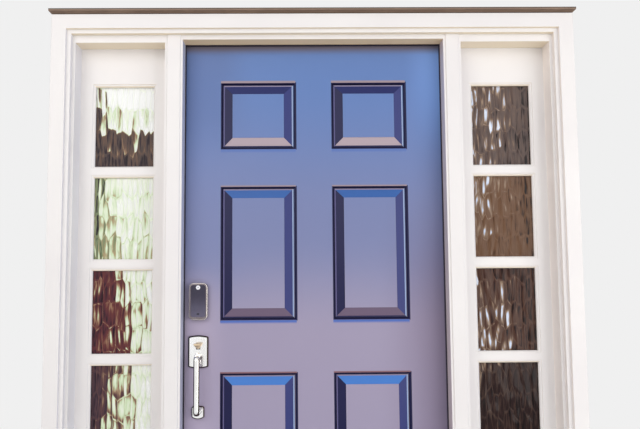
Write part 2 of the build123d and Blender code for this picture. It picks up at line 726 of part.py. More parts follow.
def hinge_pin():
    """A hinge pin with its button head."""
    half = HINGE_HEIGHT / 2
    head = half + PIN_HEAD_HEIGHT
    outline = Polyline((0, -half), (PIN_RADIUS, -half), (PIN_RADIUS, half), (PIN_HEAD_RADIUS, half),
                       (PIN_HEAD_RADIUS, head - 1), (PIN_HEAD_RADIUS - 1, head), (0, head), close=True)
    return revolve(make_face(Plane.XZ * outline), Axis.Z)


def at_hinges(part):
    """Three copies of a hinge piece, one at each hinge."""
    return [Pos(0, 0, level) * part for level in HINGE_LEVELS]


# Latch and deadbolt in the door's edge

def rounded_bar(radius, thickness, y, z, start, end):
    """A bar along X: a circle with flats on its two broad sides."""
    flats = Rectangle(thickness, 2 * radius)
    return Pos(start, y, z) * extrude(Plane.YZ * (Circle(radius) & flats), end - start, dir=(1, 0, 0))


def faceplate(z, grow=0.0):
    """The rounded plate that is let into the door's edge."""
    size = Rectangle(FACEPLATE_WIDTH + 2 * grow, FACEPLATE_HEIGHT + 2 * grow)
    sketch = Plane.YZ * fillet(size.vertices(), FACEPLATE_WIDTH / 4)
    return Pos(-DOOR_HALF, DOOR_MID, z) * extrude(sketch, FACEPLATE_THICKNESS + grow, dir=(1, 0, 0))


def latch_blank(z):
    """A latch case before it is hollowed: faceplate, tube and the carriage round the hub."""
    back = LOCK_X - CARRIAGE_BACK
    tube = rod_x(DOOR_MID, z, CASE_RADIUS, -DOOR_HALF + FACEPLATE_THICKNESS, back)
    half = CARRIAGE_THICKNESS / 2
    carriage = along_x(rectangle(DOOR_MID - half, DOOR_MID + half, z - CASE_RADIUS, z + CASE_RADIUS),
                       back, LOCK_X + CARRIAGE_REACH)
    return faceplate(z) + tube + carriage


def edge_bore(z):
    """What is cut from the door's edge for a latch: the faceplate's bed and the bore to the cross bore."""
    bore = rod_x(DOOR_MID, z, EDGE_BORE_RADIUS, -DOOR_HALF, LOCK_X - CARRIAGE_REACH)
    return faceplate(z, FACEPLATE_FIT) + bore


def hub_hole(z):
    """The hole that the spindle or tailpiece turns in."""
    return rod_y(LOCK_X, z, HUB_HOLE_RADIUS, DOOR_FACE, JAMB_DEPTH)


def latch_screw_places(z):
    """The two screws of a faceplate."""
    return [(-DOOR_HALF, DOOR_MID, z + side * FACEPLATE_HEIGHT * 0.38) for side in (-1, 1)]


def spring_latch():
    """The sprung latch, bevelled on the side that meets the strike first."""
    tip = -DOOR_HALF - LATCH_PROJECTION
    tail = -DOOR_HALF + LATCH_TAIL
    bolt = rounded_bar(LATCH_RADIUS, LATCH_THICKNESS, DOOR_MID, LATCH_Z, tip, tail)
    low = DOOR_MID - LATCH_THICKNESS / 2
    high = DOOR_MID + LATCH_THICKNESS / 2 - LATCH_BEVEL_LAND
    root = -DOOR_HALF - LATCH_BEVEL_START
    bevel = [(tip - 1, low - 1), (root, low - 1), (root, low), (tip, high), (tip - 1, high)]
    return bolt - along_z(bevel, LATCH_Z - LATCH_RADIUS, LATCH_Z + LATCH_RADIUS)


def deadbolt():
    """The square-ended deadbolt, drawn back flush with its faceplate."""
    start = -DOOR_HALF + BOLT_FIT
    return rounded_bar(BOLT_RADIUS, BOLT_THICKNESS, DOOR_MID, DEADBOLT_Z, start, start + BOLT_LENGTH)


def strike_screw_places(z, height):
    """The two screws of a strike."""
    return [(-RABBET_X, DOOR_MID, z + side * (height / 2 - STRIKE_SCREW_EDGE)) for side in (-1, 1)]


def strike_hole(z, radius, thickness, depth):
    """The pocket in the strike and jamb that a bolt goes into."""
    margin = STRIKE_HOLE_MARGIN
    half_y = thickness / 2 + margin
    half_z = radius + margin
    return along_x(rectangle(DOOR_MID - half_y, DOOR_MID + half_y, z - half_z, z + half_z),
                   -RABBET_X - depth, -RABBET_X)


def deadbolt_strike_blank(grow=0.0):
    """The rounded strike of the deadbolt, let into the jamb's rabbet."""
    size = Rectangle(STRIKE_WIDTH + 2 * grow, DEADBOLT_STRIKE_HEIGHT + 2 * grow)
    sketch = Plane.YZ * fillet(size.vertices(), STRIKE_WIDTH / 4)
    thickness = STRIKE_THICKNESS + grow
    return Pos(-RABBET_X - thickness, DOOR_MID, DEADBOLT_Z) * extrude(sketch, thickness, dir=(1, 0, 0))


def latch_strike_blank(grow=0.0):
    """The latch's strike, with a lip that leads the latch in over the jamb's inner edge."""
    half = LATCH_STRIKE_HEIGHT / 2 + grow
    lip_half = half / 2
    front = DOOR_MID - STRIKE_WIDTH / 2 - grow
    thickness = STRIKE_THICKNESS + grow
    outline = [(front, -half), (DOOR_MID + STRIKE_WIDTH / 2, -half), (DOOR_MID + STRIKE_WIDTH / 2, -lip_half),
               (JAMB_DEPTH, -lip_half), (JAMB_DEPTH, lip_half), (DOOR_MID + STRIKE_WIDTH / 2, lip_half),
               (DOOR_MID + STRIKE_WIDTH / 2, half), (front, half)]
    shifted = [(y, LATCH_Z + z) for y, z in outline]
    return along_x(shifted, -RABBET_X - thickness, -RABBET_X)


def strike_lip():
    """The curled lip of the latch's strike, past the jamb's edge."""
    half = LATCH_STRIKE_HEIGHT / 4
    outline = [(-RABBET_X - STRIKE_THICKNESS, JAMB_DEPTH), (-RABBET_X, JAMB_DEPTH),
               (-RABBET_X - STRIKE_LIP / 2, JAMB_DEPTH + STRIKE_LIP),
               (-RABBET_X - STRIKE_LIP / 2 - STRIKE_THICKNESS, JAMB_DEPTH + STRIKE_LIP)]
    return along_z(outline, LATCH_Z - half, LATCH_Z + half)


# Outside of the electronic deadbolt

def keypad_bezel(through):
    """The rounded metal case of the keypad, with a shallow bed for its face."""
    front = DOOR_FACE - BEZEL_DEPTH
    middle = DEADBOLT_Z + KEYPAD_RISE
    outline = RectangleRounded(BEZEL_WIDTH, BEZEL_HEIGHT, BEZEL_RADIUS)
    case = fillet(front_edges(sketch_y(outline, LOCK_X, middle, front, DOOR_FACE)), BEZEL_EDGE)
    bed = RectangleRounded(FACE_WIDTH + 2 * FACE_FIT, FACE_HEIGHT + 2 * FACE_FIT, FACE_RADIUS)
    bed_back = front + FACE_THICKNESS - FACE_PROUD
    return case - sketch_y(bed, LOCK_X, middle + FACE_RISE, front - 1, bed_back) - through


def keypad_face():
    """The dark touch face, just proud of its case, with the small hollow of its indicator light."""
    front = DOOR_FACE - BEZEL_DEPTH - FACE_PROUD
    middle = DEADBOLT_Z + KEYPAD_RISE + FACE_RISE
    face = sketch_y(RectangleRounded(FACE_WIDTH, FACE_HEIGHT, FACE_RADIUS), LOCK_X, middle,
                    front, front + FACE_THICKNESS)
    hollow = sketch_y(SlotOverall(INDICATOR_WIDTH, INDICATOR_HEIGHT), LOCK_X, middle - INDICATOR_DROP,
                      front - 1, front + INDICATOR_DEPTH)
    return chamfer(front_edges(face), FACE_PROUD / 2) - hollow


def keypad_disc():
    """The plain round disc near the top of the keypad, with a small hole in its middle."""
    front = DOOR_FACE - BEZEL_DEPTH - FACE_PROUD - DISC_THICKNESS
    middle = DEADBOLT_Z + KEYPAD_RISE + FACE_RISE + DISC_RISE
    disc = rod_y(LOCK_X, middle, DISC_RADIUS, front, front + DISC_THICKNESS)
    hole = rod_y(LOCK_X, middle, DISC_HOLE_RADIUS, front, front + DISC_THICKNESS)
    return fillet(front_edges(disc), DISC_THICKNESS / 2) - hole


# Outside handleset

def crowned_outline(width, height, corner, top_crown, bottom_crown):
    """A rectangle whose top and bottom edges are arcs that bulge outward."""
    half_w = width / 2
    half_h = height / 2
    shoulder = half_h - top_crown
    hem = -half_h + bottom_crown
    top = ThreePointArc((half_w, shoulder), (0, half_h), (-half_w, shoulder))
    bottom = ThreePointArc((-half_w, hem), (0, -half_h), (half_w, hem))
    left = Line((-half_w, shoulder), (-half_w, hem))
    right = Line((half_w, hem), (half_w, shoulder))
    face = make_face(Curve([top.edge(), left.edge(), bottom.edge(), right.edge()]))
    return fillet(face.vertices(), corner)


def thumb_pivot_z():
    """The height of the thumbpiece's pivot."""
    return LATCH_Z - THUMB_DROP


def thumb_pin(grow=0.0):
    """The cross pin that the thumbpiece rocks on, inside the plate."""
    reach = THUMB_PIN_REACH + grow
    return rod_x(DOOR_FACE - PLATE_THICKNESS / 2, thumb_pivot_z(), THUMB_PIN_RADIUS + grow,
                 LOCK_X - reach, LOCK_X + reach)


def handle_plate(through):
    """The outside plate of the handleset, with the thumbpiece's slot and the grip's collar."""
    middle = LATCH_Z - PLATE_DROP
    outline = crowned_outline(PLATE_WIDTH, PLATE_HEIGHT, PLATE_CORNER, PLATE_TOP_CROWN, PLATE_BOTTOM_CROWN)
    plate = sketch_y(outline, LOCK_X, middle, DOOR_FACE - PLATE_THICKNESS, DOOR_FACE)
    plate = chamfer(front_edges(plate), PLATE_EDGE)
    slot = sketch_y(Rectangle(THUMB_SLOT_WIDTH, THUMB_SLOT_HEIGHT), LOCK_X, thumb_pivot_z(),
                    DOOR_FACE - 2 * PLATE_THICKNESS, DOOR_FACE)
    return plate - slot - thumb_pin(PIN_CLEARANCE) - through


def thumbpiece():
    """The tapered thumbpiece: a wide paddle outside, a neck through the slot and a tail behind."""
    pivot = (LOCK_X, DOOR_FACE - PLATE_THICKNESS / 2, thumb_pivot_z())
    face = DOOR_FACE - PLATE_THICKNESS
    stations = ((pivot[1] + PLATE_THICKNESS, THUMB_NECK_WIDTH, THUMB_NECK_HEIGHT, 0),
                (face - THUMB_REACH / 6, THUMB_NECK_WIDTH, THUMB_NECK_HEIGHT, 0),
                (face - THUMB_REACH / 2, THUMB_NECK_WIDTH * 1.35, THUMB_NECK_HEIGHT * 0.9, THUMB_RISE / 3),
                (face - THUMB_REACH + THUMB_LIP, THUMB_TIP_WIDTH, THUMB_TIP_HEIGHT, THUMB_RISE),
                (face - THUMB_REACH, THUMB_TIP_WIDTH - THUMB_LIP, THUMB_TIP_HEIGHT - THUMB_LIP, THUMB_RISE))
    sections = []
    for y, width, height, rise in stations:
        oval = RectangleRounded(width, height, height / 2.2)
        sections.append(Pos(LOCK_X, y, pivot[2] + rise) * (Plane.XZ * oval))
    return loft(sections, ruled=True) + thumb_pin()


def handle_grip():
    """The bowed grip: out of the plate in a flared collar, straight down and back to the foot."""
    top_z = LATCH_Z - GRIP_TOP_DROP
    low_z = top_z - GRIP_LENGTH
    plate_face = DOOR_FACE - PLATE_THICKNESS
    foot_face = DOOR_FACE - FOOT_THICKNESS
    front = DOOR_FACE - GRIP_REACH
    path = FilletPolyline((LOCK_X, plate_face, top_z), (LOCK_X, front, top_z), (LOCK_X, front, low_z),
                          (LOCK_X, foot_face, low_z), radius=GRIP_BEND)
    section = Pos(LOCK_X, plate_face, top_z) * (Plane.XZ * Ellipse(GRIP_WIDTH / 2, GRIP_DEPTH / 2))
    grip = sweep(section, path=path)
    collar_front = plate_face - GRIP_COLLAR_HEIGHT
    collar = loft([Pos(LOCK_X, plate_face, top_z) * (Plane.XZ * Circle(GRIP_COLLAR_RADIUS)),
                   Pos(LOCK_X, collar_front, top_z) * (Plane.XZ * Circle(GRIP_WIDTH / 2 + 1))])
    return grip + collar


def handle_foot(through):
    """The small plate under the grip's lower end."""
    middle = LATCH_Z - FOOT_DROP
    outline = crowned_outline(FOOT_WIDTH, FOOT_HEIGHT, FOOT_CORNER, FOOT_CROWN / 4, FOOT_CROWN)
    foot = sketch_y(outline, LOCK_X, middle, DOOR_FACE - FOOT_THICKNESS, DOOR_FACE)
    return chamfer(front_edges(foot), FOOT_EDGE) - through


# Inside of the locks

def housing_middle():
    """The middle height of the inside housing."""
    return DEADBOLT_Z - HOUSING_BELOW_BOLT + HOUSING_HEIGHT / 2


def battery_bay():
    """The width, height and middle height of the space for the batteries, high in the housing."""
    width = 2 * BATTERY_RADIUS * BATTERY_COUNT + 2 * BATTERY_CLEARANCE
    height = BATTERY_LENGTH + 2 * BATTERY_CLEARANCE
    top = housing_middle() + HOUSING_HEIGHT / 2 - HOUSING_RADIUS / 2
    return width, height, top - height / 2


def inside_lock_housing(through):
    """The inside case: a battery bay above the thumbturn's seat."""
    back = JAMB_DEPTH
    front = JAMB_DEPTH + HOUSING_DEPTH
    case = sketch_y(RectangleRounded(HOUSING_WIDTH, HOUSING_HEIGHT, HOUSING_RADIUS), LOCK_X,
                    housing_middle(), back, front)
    case = fillet(back_edges(case), HOUSING_EDGE)
    width, height, bay_z = battery_bay()
    bay = sketch_y(Rectangle(width, height), LOCK_X, bay_z, back + HOUSING_FLOOR, front)
    lid_bed = sketch_y(Rectangle(width + 2 * COVER_MARGIN, height + 2 * COVER_MARGIN), LOCK_X, bay_z,
                       front - COVER_THICKNESS, front + 1)
    seat = rod_y(LOCK_X, DEADBOLT_Z, THUMBTURN_RADIUS + TURN_FIT, front - THUMBTURN_BASE, front + 1)
    shaft = rod_y(LOCK_X, DEADBOLT_Z, SPINDLE_WIDTH, back, front)
    return case - bay - lid_bed - seat - shaft - through


def battery_cover():
    """The flat lid over the battery bay."""
    width, height, bay_z = battery_bay()
    growth = 2 * (COVER_MARGIN - COVER_FIT)
    front = JAMB_DEPTH + HOUSING_DEPTH
    lid = sketch_y(Rectangle(width + growth, height + growth), LOCK_X, bay_z,
                   front - COVER_THICKNESS, front + COVER_PROUD)
    return fillet(back_edges(lid), COVER_PROUD * 0.8)


def batteries():
    """The row of round batteries, standing side by side."""
    bay_z = battery_bay()[2]
    y = JAMB_DEPTH + HOUSING_FLOOR + BATTERY_RADIUS + BATTERY_CLEARANCE
    cells = []
    for number in range(BATTERY_COUNT):
        x = LOCK_X + (number - (BATTERY_COUNT - 1) / 2) * 2 * BATTERY_RADIUS
        cell = Pos(x, y, bay_z - BATTERY_LENGTH / 2) * extrude(Circle(BATTERY_RADIUS - 0.05), BATTERY_LENGTH)
        cells.append(cell.solid())
    return Compound(cells)


def thumbturn():
    """The round base and raised bar that throw the deadbolt from inside."""
    seat = JAMB_DEPTH + HOUSING_DEPTH - THUMBTURN_BASE + TURN_FIT
    front = seat + THUMBTURN_BASE
    base = rod_y(LOCK_X, DEADBOLT_Z, THUMBTURN_RADIUS, seat, front)
    bar = sketch_y(RectangleRounded(THUMBTURN_WIDTH, THUMBTURN_LENGTH, THUMBTURN_WIDTH / 2.2),
                   LOCK_X, DEADBOLT_Z, front, front + THUMBTURN_REACH)
    return base + fillet(back_edges(bar), THUMBTURN_WIDTH / 5)


def deadbolt_tailpiece():
    """The flat bar from the thumbturn through the deadbolt's hub."""
    end = JAMB_DEPTH + HOUSING_DEPTH - THUMBTURN_BASE + TURN_FIT
    return sketch_y(Rectangle(TAILPIECE_THICKNESS, TAILPIECE_WIDTH), LOCK_X, DEADBOLT_Z,
                    DOOR_FACE + TURN_FIT, end)


def lever_rose(through):
    """The round inside rose that covers the latch's bore."""
    rose = rod_y(LOCK_X, LATCH_Z, ROSE_RADIUS, JAMB_DEPTH, JAMB_DEPTH + ROSE_THICKNESS)
    rose = fillet(back_edges(rose), ROSE_EDGE)
    hole = rod_y(LOCK_X, LATCH_Z, SHANK_RADIUS + TURN_FIT, JAMB_DEPTH, JAMB_DEPTH + ROSE_THICKNESS)
    return rose - hole - through


def inside_lever():
    """The inside lever: a round shank with a tapering arm that bows toward the hinges."""
    shank_back = JAMB_DEPTH + TURN_FIT
    arm_y = JAMB_DEPTH + SHANK_LENGTH
    shank = rod_y(LOCK_X, LATCH_Z, SHANK_RADIUS, shank_back, arm_y + LEVER_DEPTH / 2)
    start = Plane(origin=(LOCK_X, arm_y, LATCH_Z), x_dir=(0, 1, 0), z_dir=(1, 0, 0))
    sections = []
    for share in (0, 0.35, 0.7, 1):
        scale_here = 1 - (1 - LEVER_TIP_SCALE) * share
        bow = LEVER_BOW * math.sin(math.pi * share)
        oval = RectangleRounded(LEVER_DEPTH * scale_here, LEVER_HEIGHT * scale_here,
                                LEVER_CORNER * scale_here)
        sections.append(start * Pos(bow, 0, LEVER_LENGTH * share) * oval)
    arm = loft(sections)
    bore = rod_y(LOCK_X, LATCH_Z, SPINDLE_WIDTH * 0.75, shank_back, JAMB_DEPTH + SHANK_LENGTH / 2)
    return shank + arm - bore


def lever_spindle():
    """The square spindle from just past the latch's hub into the lever."""
    start = DOOR_MID - CARRIAGE_THICKNESS / 2 - SPINDLE_OVERRUN
    end = JAMB_DEPTH + SHANK_LENGTH / 2
    return sketch_y(Rectangle(SPINDLE_WIDTH, SPINDLE_WIDTH), LOCK_X, LATCH_Z, start, end)


def lock_screw_places():
    """The through screws from inside: X, height and the face that the head is sunk in."""
    rose_face = JAMB_DEPTH + ROSE_THICKNESS
    housing_face = JAMB_DEPTH + HOUSING_FLOOR
    places = [(LOCK_X, LATCH_Z - FOOT_DROP, JAMB_DEPTH)]
    for side in (-1, 1):
        places.append((LOCK_X, LATCH_Z + side * LOCK_SCREW_OFFSET, rose_face))
        places.append((LOCK_X, DEADBOLT_Z + side * LOCK_SCREW_OFFSET, housing_face))
    return places


def lock_screw(x, z, head_face, grow=0.0):
    """One through screw along Y, biting into the outside plate."""
    end = DOOR_FACE - LOCK_SCREW_BITE - grow
    shank = rod_y(x, z, LOCK_SCREW_RADIUS + grow, end, head_face)
    head = rod_y(x, z, LOCK_SCREW_HEAD_RADIUS + grow, head_face - LOCK_SCREW_HEAD_HEIGHT - grow, head_face)
    return shank + head


# The whole unit

def build():
    """Every node of the unit by name."""
    nodes = {}
    base = sill_base()
    deck = sill_deck()
    sill = [base, deck]
    nodes["sill_base"] = base
    nodes["sill_deck"] = deck
    nodes["threshold_cap"] = threshold_cap()

    jamb_pair = side_pair(door_jamb() - sill)
    mull_pair = side_pair(mull_jamb() - sill)
    outer_pair = side_pair(side_jamb() - sill)
    head_pair = side_pair(sidelight_head())
    base_pair = side_pair(sidelight_base(sill))
    cover_pair = side_pair(mull_cover(sill))
    leg_pair = side_pair(casing_leg())
    stile_pair = side_pair(sash_stiles())
    rail_pair = side_pair(sash_rails())
    muntin_pair = side_pair(sash_muntins())
    bead_pair = side_pair(glazing_beads())
    pane_pair = side_pair(glass_panes())
    nodes["door_head_jamb"] = door_head()
    nodes["head_casing"] = casing_head()
    nodes["drip_cap"] = drip_cap()
    nodes["door_weatherstrip"] = weatherstrip()
    for side in SIDES:
        nodes[side + "_side_jamb"] = outer_pair[side]
        nodes[side + "_sidelight_head"] = head_pair[side]
        nodes[side + "_sidelight_base"] = base_pair[side]
        nodes[side + "_mull_cover"] = cover_pair[side]
        nodes[side + "_casing"] = leg_pair[side]
        nodes[side + "_sash_stiles"] = stile_pair[side]
        nodes[side + "_sash_rails"] = rail_pair[side]
        nodes[side + "_sash_muntins"] = muntin_pair[side]
        nodes[side + "_glazing_beads"] = bead_pair[side]
        nodes[side + "_glass_panes"] = pane_pair[side]

    jamb_leaf = hinge_leaf(0, RABBET_X, 1)
    door_leaf = hinge_leaf(1, DOOR_HALF, -1)
    jamb_hinge_places = hinge_screw_places(RABBET_X)
    door_hinge_places = hinge_screw_places(DOOR_HALF)
    latch_strike_places = strike_screw_places(LATCH_Z, LATCH_STRIKE_HEIGHT)
    deadbolt_strike_places = strike_screw_places(DEADBOLT_Z, DEADBOLT_STRIKE_HEIGHT)
    strike_places = latch_strike_places + deadbolt_strike_places
    edge_places = latch_screw_places(LATCH_Z) + latch_screw_places(DEADBOLT_Z)
    grow = SCREW_CLEARANCE
    jamb_hinge_holes = screws_at(jamb_hinge_places, 1, grow)
    door_hinge_holes = screws_at(door_hinge_places, -1, grow)
    strike_holes = screws_at(strike_places, -1, grow)
    edge_holes = screws_at(edge_places, 1, grow)

    nodes["hinge_jamb"] = jamb_pair["right"] - at_hinges(leaf_mortise(RABBET_X, 1)) - jamb_hinge_holes
    latch_hole = strike_hole(LATCH_Z, LATCH_RADIUS, LATCH_THICKNESS, LATCH_POCKET)
    deadbolt_hole = strike_hole(DEADBOLT_Z, BOLT_RADIUS, BOLT_THICKNESS, DEADBOLT_POCKET)
    nodes["latch_jamb"] = (jamb_pair["left"] - latch_hole - deadbolt_hole
                           - latch_strike_blank(FACEPLATE_FIT) - deadbolt_strike_blank(FACEPLATE_FIT)
                           - strike_holes)
    nodes["left_mull_jamb"] = mull_pair["left"] - deadbolt_hole - strike_holes
    nodes["right_mull_jamb"] = mull_pair["right"] - jamb_hinge_holes
    nodes["latch_strike"] = latch_strike_blank() + strike_lip() - latch_hole - strike_holes
    nodes["deadbolt_strike"] = deadbolt_strike_blank() - deadbolt_hole - strike_holes
    nodes["jamb_hinge_leaves"] = group(leaf - jamb_hinge_holes for leaf in at_hinges(jamb_leaf))
    nodes["hinge_pins"] = group(at_hinges(Pos(HINGE_X, HINGE_Y, 0) * hinge_pin()))
    nodes["jamb_wood_screws"] = group(screws_at(jamb_hinge_places, 1) + screws_at(strike_places, -1))

    through = [lock_screw(*place, grow) for place in lock_screw_places()]
    lock_levels = (LATCH_Z, DEADBOLT_Z)
    bores = [rod_y(LOCK_X, level, CROSS_BORE_RADIUS, DOOR_FACE, JAMB_DEPTH) for level in lock_levels]
    edge_bores = [edge_bore(level) for level in lock_levels]
    nodes["door_slab"] = (door_slab() - bores - edge_bores - at_hinges(leaf_mortise(DOOR_HALF, -1))
                          - door_hinge_holes - edge_holes - through)
    nodes["door_sweep"] = door_sweep()
    nodes["door_hinge_leaves"] = group(leaf - door_hinge_holes for leaf in at_hinges(door_leaf))
    nodes["door_wood_screws"] = group(screws_at(door_hinge_places, -1) + screws_at(edge_places, 1))

    latch_channel = rounded_bar(LATCH_RADIUS + BOLT_FIT, LATCH_THICKNESS + 2 * BOLT_FIT, DOOR_MID, LATCH_Z,
                                -DOOR_HALF, LOCK_X)
    bolt_channel = rounded_bar(BOLT_RADIUS + BOLT_FIT, BOLT_THICKNESS + 2 * BOLT_FIT, DOOR_MID, DEADBOLT_Z,
                               -DOOR_HALF, LOCK_X)
    for name, level, channel in (("latch_case", LATCH_Z, latch_channel),
                                 ("deadbolt_case", DEADBOLT_Z, bolt_channel)):
        nodes[name] = latch_blank(level) - channel - hub_hole(level) - edge_holes
    nodes["latch_bolt"] = spring_latch()
    nodes["deadbolt_bolt"] = deadbolt()

    nodes["keypad_bezel"] = keypad_bezel(through)
    nodes["keypad_face"] = keypad_face()
    nodes["keypad_disc"] = keypad_disc()
    nodes["handle_plate"] = handle_plate(through)
    nodes["thumbpiece"] = thumbpiece()
    nodes["handle_grip"] = handle_grip()
    nodes["handle_foot"] = handle_foot(through)
    nodes["inside_lock_housing"] = inside_lock_housing(through)
    nodes["battery_cover"] = battery_cover()
    nodes["batteries"] = batteries()
    nodes["thumbturn"] = thumbturn()
    nodes["deadbolt_tailpiece"] = deadbolt_tailpiece()
    nodes["lever_rose"] = lever_rose(through)
    nodes["inside_lever"] = inside_lever()
    nodes["lever_spindle"] = lever_spindle()
    nodes["lock_screws"] = group(lock_screw(*place) for place in lock_screw_places())
    return nodes


def leaf_mortise(face_x, leaf_direction):
    """The recess that a hinge leaf is let into."""
    far_x = face_x + leaf_direction * HINGE_LEAF
    low_x, high_x = min(face_x, far_x), max(face_x, far_x)
    half = HINGE_HEIGHT / 2
    return along_z(rectangle(low_x, high_x, JAMB_DEPTH - HINGE_LEAF_WIDTH, JAMB_DEPTH), -half, half)


def group(parts):
    """Separate solids that share one node."""
    return Compound([part.solid() for part in parts])


def export(nodes):
    """One file for each node."""
    os.makedirs("parts", exist_ok=True)
    for name, part in nodes.items():
        export_step(part, os.path.join("parts", name + ".step"))


export(build())
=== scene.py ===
import math
from collections import namedtuple

import bmesh
import bpy
from bpy.props import FloatProperty, FloatVectorProperty, IntProperty, PointerProperty
from mathutils import Matrix, Vector, noise


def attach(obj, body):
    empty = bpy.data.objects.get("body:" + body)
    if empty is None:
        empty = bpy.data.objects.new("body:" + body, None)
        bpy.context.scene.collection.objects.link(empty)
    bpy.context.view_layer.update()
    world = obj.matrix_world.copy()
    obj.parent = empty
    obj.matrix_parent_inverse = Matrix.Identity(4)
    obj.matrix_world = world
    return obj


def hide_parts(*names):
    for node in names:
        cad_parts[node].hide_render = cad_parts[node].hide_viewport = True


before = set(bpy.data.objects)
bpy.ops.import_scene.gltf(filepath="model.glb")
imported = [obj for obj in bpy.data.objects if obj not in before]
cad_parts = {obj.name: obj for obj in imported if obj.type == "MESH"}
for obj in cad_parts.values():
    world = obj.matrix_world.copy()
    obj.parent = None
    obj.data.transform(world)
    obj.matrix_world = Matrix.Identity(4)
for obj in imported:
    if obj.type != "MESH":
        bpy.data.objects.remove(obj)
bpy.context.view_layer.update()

bl_info = {
    "name": "Panelled entry door",
    "version": (1, 0, 0),
    "blender": (4, 5, 0),
    "location": "3D View > Sidebar > Entry door",
    "description": "Paint, metal, rippled glass and studio for a panelled entry door with sidelights",
    "category": "Object",
}

# Which node takes which finish
SIDES = ("left", "right")
UPRIGHTS = [side + piece for side in SIDES for piece in
            ("_mull_jamb", "_side_jamb", "_mull_cover", "_casing", "_sash_stiles", "_glazing_beads")]
ACROSS = ["head_casing"] + [side + piece for side in SIDES for piece in
                            ("_sidelight_head", "_sidelight_base", "_sash_rails", "_sash_muntins")]
DOOR_POSTS = ["latch_jamb", "hinge_jamb"]
SATIN_METAL = ["lever_rose", "inside_lever", "thumbturn", "latch_strike", "deadbolt_strike",
               "jamb_hinge_leaves", "door_hinge_leaves", "hinge_pins", "jamb_wood_screws", "door_wood_screws"]
BRIGHT_METAL = ["handle_plate", "handle_foot"]
PLATED_STEEL = ["latch_case", "deadbolt_case", "latch_bolt", "deadbolt_bolt", "lever_spindle",
                "deadbolt_tailpiece", "lock_screws"]
PANE_NODES = ("left_glass_panes", "right_glass_panes")

# Lengths are in metres throughout. A pair of numbers is the range over which one thing turns into the next.

# The door's panel openings: how far a column's middle is from the door's, half a panel's width, and each
# row's middle height and half height
PANEL_COLUMN = 0.19325
PANEL_HALF_WIDTH = 0.13075
PANEL_ROWS = [(0.60425, 0.31025), (1.32175, 0.23075), (1.80125, 0.11875)]

# The painted lines round a panel, as distances outward from its opening's edge: painted light and shade on
# the ledge, painted shade in the groove, and painted highlights on the flat face over and under the opening
LEDGE_BAND = (-0.0130, -0.0090)
GROOVE_BAND = (-0.0090, -0.0002)
GROOVE_SPREAD = 0.003
BAND_START_BLUR = 0.0004
BAND_END_BLUR = 0.0008
MOULDING_END = (0.0, 0.001)
HEAD_GLINT_START = (-0.002, -0.001)
HEAD_GLINT_WIDTH = 0.0034
TOP_ROW_EXTRA = 0.0028
HEAD_GLINT_BLUR = 0.0008
FOOT_GLINT_START = (-0.0002, 0.0006)
FOOT_GLINT_END = (0.004, 0.013)
FOOT_GLINT_SHARE = 0.9
TOP_ROW_FOOT_LOSS = 0.6
SIDE_CHANGE = (-0.001, 0.001)
MITRE = (-0.0003, 0.0003)

# How far a face has to be turned for a bevel's painted light
BEVEL_TURN = (0.08, 0.2)

# Heights over which the door paint's painted light changes: the painted reflection on its field, the painted
# light on its mouldings and on the top row's mouldings, and the painted shade of the strip under the head
LOW_TO_MIDDLE = (1.02, 1.4)
MIDDLE_TO_HIGH = (1.35, 1.95)
FIELD_DRIFT = 0.12
MOULDING_RISE = (0.95, 1.6)
TOP_BEVEL_SHARE = 0.45
TOP_ROW = (1.62, 1.70)
UNDER_HEAD = (2.015, 2.05)
UNDER_HEAD_SHARE = 0.9

# Patches of painted light and shade at the leaf's sides: the colour, the side (-1 for the latch's and 1 for
# the hinges'), the distances from the middle, the heights, whether the patch lies over those heights or under
# them, and its share
SIDE_PATCHES = [
    ("latch_light", -1.0, (0.28, 0.42), (1.1, 1.3), False, 0.8),
    ("latch_shade", -1.0, (0.2, 0.34), (1.6, 1.85), True, 0.5),
    ("hinge_shade", 1.0, (0.2, 0.44), (1.15, 1.65), False, 0.5),
    ("hinge_light", 1.0, (0.31, 0.45), (1.6, 1.95), True, 1.0),
]

# How far a face of the frame has to be turned for its side's or its underside's painted light, and where dust
# lies
SIDE_TURN = (0.5, 0.95)
SIDE_SHARE = 0.9
UNDER_TURN = (0.3, 0.9)
DUSTY_HEIGHTS = (0.02, 0.35)

# The painted shadow along the drip cap's foot and brow, with the paler coating between
CAP_FOOT = (2.132, 2.136)
CAP_BROW = (2.1435, 2.1465)

# The touch panel: the heights over which it darkens, and how far back its slot and rim lie, which take
# painted shade
KEYPAD_DARKENS = (1.09, 1.19)
KEYPAD_SLOT = (0.0511, 0.0514)

# Grains, as a stretch along X, Y and Z
BRUSHED_UP = (300.0, 300.0, 9.0)
BRUSHED_ACROSS = (9.0, 300.0, 300.0)
DRAWN_UP = (900.0, 900.0, 40.0)
CLOUDED_UP = (30.0, 30.0, 12.0)
SPRAYED = (1.0, 1.0, 0.45)
GRIMY = (1.0, 6.0, 6.0)
SCUFFED = (4.0, 90.0, 90.0)
GRAINED_ACROSS = (3.0, 60.0, 60.0)
SWAYING = (14.0, 1.0, 7.0)
STREAKED = (150.0, 1.0, 16.0)

# The lites of a sidelight, from the lowest
LITE_FOOT = 0.3295
LITE_HEIGHT = 0.299
LITE_PITCH = 0.3217
HALF_MUNTIN = 0.011
LITES = 5
GLAZED_HEIGHT = LITE_PITCH * LITES
LITE_MIDDLES = [LITE_FOOT + LITE_HEIGHT / 2 + LITE_PITCH * number for number in range(LITES)]
LITE_STEPS = [LITE_FOOT + LITE_PITCH * number - HALF_MUNTIN for number in range(1, LITES)]

# The ripples as cells: how far they sway, how high they start, how much they scatter and blend, how quickly
# they fall off from the middle, and how much of what lies beside and above a ripple shows in it
SWAY = 1.2
CELL_START = 0.74
CELL_SCATTER = 0.55
CELL_BLEND = 0.25
SWELL_FALL = 2.2
SWELL_MIDDLE = 0.6
TURNED = (2.6, 1.7)
LITE_TURNED = 1.6
